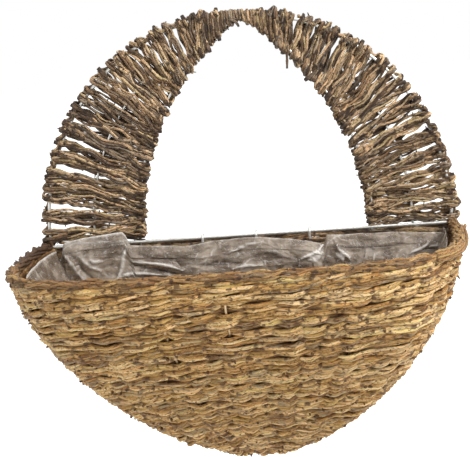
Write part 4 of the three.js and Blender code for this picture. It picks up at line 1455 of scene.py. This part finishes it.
def film_loop():
    """The film's way round the inside of the rim: round the front from left to right, then along the back."""
    share = np.linspace(0.0, 1.0, FRONT_POINTS)
    plan = bowl(share, 0.0)
    half = HOOP_HALF_WIDTH + np.where(plan[:, 0] < 0, SWELL[-1], SWELL[1])
    x = plan[:, 0] * (1 - FILM_INSET / half)
    depth = (BOWL_DEPTH - FILM_INSET - FILM_SETBACK) / (BOWL_DEPTH - END_RIB_SETBACK)
    y = -FILM_SETBACK + (plan[:, 1] + END_RIB_SETBACK) * depth
    back_x = np.linspace(x[-1], x[0], BACK_POINTS)[1:-1]
    loop_x = np.concatenate([x, back_x])
    loop_y = np.concatenate([y, np.full(len(back_x), -FILM_SETBACK)])
    back_share = np.linspace(FRONT_SHARE, 1.0, BACK_POINTS)[1:-1]
    return loop_x, loop_y, np.concatenate([FRONT_SHARE * share, back_share])


def folds(share, level):
    """How far the slack film folds in, at a share of the way round and at a level."""
    upright = 1 + np.cos(2 * math.pi * (11 * share + level))
    slanted = 1 + np.cos(2 * math.pi * (7 * share - 2 * level))
    return FOLD_DEPTH * np.sin(math.pi * level) * (upright + slanted) / 4


def creases(rng, along, down, period, level_share):
    """Flat facets that meet in sharp folds, from 0 to 1. level_share is the share of folds that run level."""
    total = np.zeros_like(along)
    for _ in range(CREASES_EACH):
        level = rng.uniform() < level_share
        angle = rng.uniform(-0.22, 0.22) if level else rng.uniform(0.3, 2.6)
        reach = period * rng.uniform(0.6, 1.5)
        bend = 0.5 * np.sin(along / (3.1 * reach) + down / (2.3 * reach) + rng.uniform(*START_ANGLES))
        wave = (along * math.sin(angle) + down * math.cos(angle)) / reach + bend + rng.uniform(0, 2)
        total += np.abs(wave % 2 - 1)
    return total / CREASES_EACH


def add_folds(points, on_back, shift):
    """Raises the folds of the film's back, and gives the highlight, above 0, or shade, below 0, painted at
    each point, from -1 to 1.
    """
    light = np.zeros(shift.shape)
    for number, (start, end, height, width, lightness) in enumerate(FILM_FOLDS):
        start, end = np.array(start, float), np.array(end, float)
        step = end - start
        square = unit(np.array([-step[1], step[0]]))
        place = points[:, :, [0, 2]] - start
        share = np.clip(place @ step / (step @ step), 0.0, 1.0)
        bow = FOLD_BOW * np.sin(5.0 * share + number)
        away = np.linalg.norm(place - share[:, :, None] * step - bow[:, :, None] * square, axis=2)
        ridge = bell(away, width * (0.3 + 0.9 * np.sin(math.pi * share))) * on_back
        shift += height * ridge
        light += lightness * ridge
    return np.clip(light, -1.0, 1.0)


def film_rows(x, y, loop_share, edge, hem):
    """The film's points row by row, first up the hem and then down the bag, and how far each one folds in."""
    rows, inward = [], []
    for share, gap in zip(HEM_ROW_SHARES + (0.0,), HEM_ROW_GAPS + (0.0,)):
        rows.append(np.stack([x, y, edge - hem * share], axis=1))
        inward.append(np.full(len(x), gap))
    even = np.linspace(0.0, 1.0, LEVEL_COUNT)[1:]
    for level in np.sin(0.5 * math.pi * even**LEVEL_POWER) * LEVEL_END_SHARE:
        z = edge + (-FILM_DEPTH - edge) * level
        true_level = np.clip(-z / FILM_DEPTH, 0.0, LEVEL_LIMIT)
        narrow_y = narrowing(true_level, DEPTH_EXPONENT)
        row_y = -FILM_SETBACK + (y + FILM_SETBACK) * narrow_y
        rows.append(np.stack([x * narrowing(true_level, WIDTH_EXPONENT), row_y, z], axis=1))
        inward.append(folds(loop_share, true_level))
    return np.array(rows), np.array(inward)


def film_liner():
    """A bag of thin film that lines the bowl, creased all over, with its top edge folded in and down."""
    rng = np.random.default_rng(FILM_SEED)
    x, y, loop_share = film_loop()
    on_back = np.arange(len(x)) >= FRONT_POINTS
    around = np.concatenate([[0.0], np.cumsum(np.hypot(np.diff(x), np.diff(y)))])
    edge = np.where(on_back, np.interp(x, FILM_TOP[:, 0], FILM_TOP[:, 1]), FRONT_EDGE)
    hem = HEM_WIDTH + HEM_WANDER * noise_along(rng, around, HEM_WANDER_REACH)
    points, inward = film_rows(x, y, loop_share, edge, hem)
    down = np.maximum(edge - points[:, :, 2], 0.0)
    sideways = np.broadcast_to(around, down.shape)
    large = creases(rng, sideways, down, LARGE_PERIOD, LEVEL_CREASES_SHARE)
    small = creases(rng, sideways, down, SMALL_PERIOD, LEVEL_CREASES_SHARE)
    settle = ramp(down, 0.0, SETTLE_REACH) * ramp(-down, -SETTLE_END, SETTLE_END_REACH)
    shift = LARGE_CREASE * large * (0.08 + 0.92 * settle)
    shift = shift + SMALL_CREASE * small * (0.25 + 0.75 * settle) + inward
    # Painted highlights and painted shade along the folds of the back
    light = add_folds(points, on_back, shift)
    hem_line = np.interp(x, HEM_LINE_X, HEM_LINE_SHARES) * bell(down - hem, HEM_LINE_REACH) * on_back
    # The flap on the left is lighter, and shade is painted along the hem's line
    light = light + np.interp(x, FLAP_X, FLAP_LIGHT) - HEM_LINE_PAINTED_SHADE * hem_line
    # A highlight is painted along the film's top edge
    light = np.clip(light + EDGE_PAINTED_HIGHLIGHT * ramp(-down, -EDGE_PAINTED_HIGHLIGHT_REACH, EDGE_PAINTED_HIGHLIGHT_REACH), -1.0, 1.0)
    to_middle = unit(np.stack([-x, -BOWL_DEPTH * MIDDLE_DEPTH_SHARE - y], axis=1))
    to_middle[on_back] = [0.0, -1.0]
    points[:, :, :2] += to_middle[None] * shift[:, :, None]
    ripple = EDGE_CREASE * creases(rng, sideways, down, EDGE_PERIOD, LEVEL_EDGE_CREASES_SHARE) - EDGE_DROP
    points[:, :, 2] += ripple * np.clip(1 - down / EDGE_REACH, 0, 1)
    build_film(points, sideways, down, light)


def build_film(points, sideways, down, light):
    rows, count = points.shape[:2]
    faces = tube_faces(rows, count, 0)
    faces.append([(rows - 1) * count + index for index in range(count)])
    lay = np.stack([sideways.ravel(), down.ravel(), np.zeros(rows * count)], axis=1) / TEXTURE_UNIT
    attributes = {"lay": lay, "painted_fold_light": light.ravel()}
    corners = points.reshape(-1, 3)
    piece = add_piece("film_liner", corners, faces, attributes, film_material(), ["liner"])


def film_material():
    """Clear polythene gone cloudy: grey haze, fine wrinkles, painted highlights and painted shade along its
    folds, and a soft shine.
    """
    graph = Graph(bpy.data.materials.new("polythene_film"))
    lay = graph.attribute("lay").outputs["Vector"]
    cloud = graph.noise(lay, 0.45, 4.0)
    wrinkles = graph.noise(lay, 1.6, 6.0, 0.62)
    along, down, _ = graph.parts(lay)
    lengthened = graph.math("MULTIPLY", along, 0.45)
    shifted = graph.math("MULTIPLY_ADD", cloud, 2.0, down)
    facets = graph.facets(graph.joined(lengthened, shifted, 0.0), 0.9)
    edges = graph.smooth(facets, 0.06, 0.0)
    # Thin crease lines along the facets' edges, which get a painted highlight
    crease_highlight = graph.math("MULTIPLY", edges, graph.smooth(wrinkles, 0.45, 0.6, 0.0, 0.5))
    painted_fold_light = graph.attribute("painted_fold_light").outputs["Fac"]
    ragged = graph.math("MULTIPLY_ADD", graph.math("SUBTRACT", wrinkles, 0.5), 0.9, painted_fold_light)
    # Painted highlight on light folds and crease lines, near white and more opaque
    painted_highlight = graph.math("MAXIMUM", graph.smooth(ragged, 0.25, 0.95, 0.0, 0.9), crease_highlight)
    # Painted shade on dark folds and along the hem's line
    painted_shade = graph.smooth(ragged, -0.2, -0.8)
    colour = graph.mix(graph.smooth(cloud, 0.35, 0.65), linear(120, 104, 90), linear(176, 161, 144))
    colour = graph.mix(painted_highlight, colour, linear(236, 230, 222))
    colour = graph.mix(painted_shade, colour, linear(84, 70, 62))
    folded = graph.math("MULTIPLY_ADD", graph.smooth(facets, 0.0, 0.4), 0.5, wrinkles)
    return graph.surface({
        "Base Color": colour,
        "Roughness": graph.smooth(cloud, 0.3, 0.7, 0.17, 0.30),
        "Alpha": graph.smooth(painted_highlight, 0.0, 1.0, graph.smooth(cloud, 0.3, 0.7, 0.50, 0.72), 0.92),
        "Specular IOR Level": 0.75,
        "Normal": graph.bump(folded, 0.8, 0.0030),
    })


# Camera, floor and light

# The view, fitted to the photograph: angles in radians, lengths in millimetres, and the lens as a focal
# length in the photograph's pixels
CAMERA_AZIMUTH, CAMERA_ELEVATION, CAMERA_ROLL = 0.104, 0.163, -0.081
CAMERA_DISTANCE = 1621.0
CAMERA_TARGET = np.array([-4.3, -86.0, 20.4])
PHOTO_WIDTH, FOCAL_PIXELS = 470.0, 1830.6
SENSOR_WIDTH = 36.0

# Lamps, in metres in the row frame: place, size and power
LAMP_AIM = (0.0, -0.08, -0.2)
LAMPS = {
    "key_light": ((1.6, -1.2, 1.3), 0.8, 62.0),
    "fill_light": ((-1.5, -1.2, 0.3), 1.2, 4.0),
    "top_light": ((0.1, 0.1, 1.6), 1.0, 13.0),
}
WORLD_LIGHT = 0.55
FLOOR_SIZE, FLOOR_DROP = 8.0, 0.30


def camera():
    """The photograph's view: a long lens, a little to the right of and above the basket, slightly rolled."""
    level = math.cos(CAMERA_ELEVATION)
    back = np.array([
        math.sin(CAMERA_AZIMUTH) * level,
        -math.cos(CAMERA_AZIMUTH) * level,
        math.sin(CAMERA_ELEVATION),
    ])
    right = unit(np.cross(-back, UP))
    upward = np.cross(right, -back)
    tilted_right = math.cos(CAMERA_ROLL) * right + math.sin(CAMERA_ROLL) * upward
    tilted_up = -math.sin(CAMERA_ROLL) * right + math.cos(CAMERA_ROLL) * upward
    data = bpy.data.cameras.new("photo_camera")
    data.sensor_fit = "HORIZONTAL"
    data.sensor_width = SENSOR_WIDTH
    data.lens = FOCAL_PIXELS * SENSOR_WIDTH / PHOTO_WIDTH
    data.clip_start, data.clip_end = 0.05, 30.0
    holder = link("photo_camera", data)
    place = to_row(CAMERA_TARGET + back * CAMERA_DISTANCE)
    columns = np.column_stack([tilted_right, tilted_up, back, place])
    holder.matrix_world = Matrix([*columns.tolist(), [0.0, 0.0, 0.0, 1.0]])
    bpy.context.scene.camera = holder


def add_lamp(name, place, size, power):
    data = bpy.data.lights.new(name, "AREA")
    data.shape = "DISK"
    data.size = size
    data.energy = power
    lamp = link(name, data)
    lamp.location = place
    lamp.rotation_mode = "QUATERNION"
    lamp.rotation_quaternion = (Vector(LAMP_AIM) - Vector(place)).to_track_quat("-Z", "Y")


def studio():
    """Three soft lamps and an even pale world, which looks white to the camera."""
    for name, (place, size, power) in LAMPS.items():
        add_lamp(name, place, size, power)
    world = bpy.data.worlds.new("studio")
    bpy.context.scene.world = world
    graph = Graph(world)
    plain = graph.nodes["Background"]
    plain.inputs["Color"].default_value = WHITE
    graph.feed(plain.inputs["Strength"], graph.smooth(graph.looked_at(), 0.0, 1.0, WORLD_LIGHT, 1.0))


def floor():
    """A wide pale floor well below the hanging basket. It looks white to the camera and keeps the shadow."""
    level = cad_box[0].z - FLOOR_DROP
    mesh = bpy.data.meshes.new("floor")
    corners = [(x * FLOOR_SIZE, y * FLOOR_SIZE, level) for x, y in ((-1, -1), (1, -1), (1, 1), (-1, 1))]
    mesh.from_pydata(corners, [], [(0, 1, 2, 3)])
    graph = Graph(bpy.data.materials.new("floor"))
    grain = graph.noise(graph.nodes.new("ShaderNodeTexCoord").outputs["Object"], 60.0)
    glow = graph.smooth(grain, 0.0, 1.0, 0.80, 0.84)
    mesh.materials.append(graph.surface({
        "Base Color": (0.80, 0.80, 0.79, 1.0),
        "Roughness": 0.9,
        "Emission Color": WHITE,
        "Emission Strength": graph.math("MULTIPLY", graph.looked_at(), glow),
    }))
    piece = link("floor", mesh)


camera()
hoop()
arch_wires()
uprights()
rail()
rim_core()
ribs()
bowl_rows()
arch_weave()
back_panel()
peak_binding()
rope_border()
film_liner()
studio()
floor()

bpy.context.scene.view_settings.view_transform = "Standard"
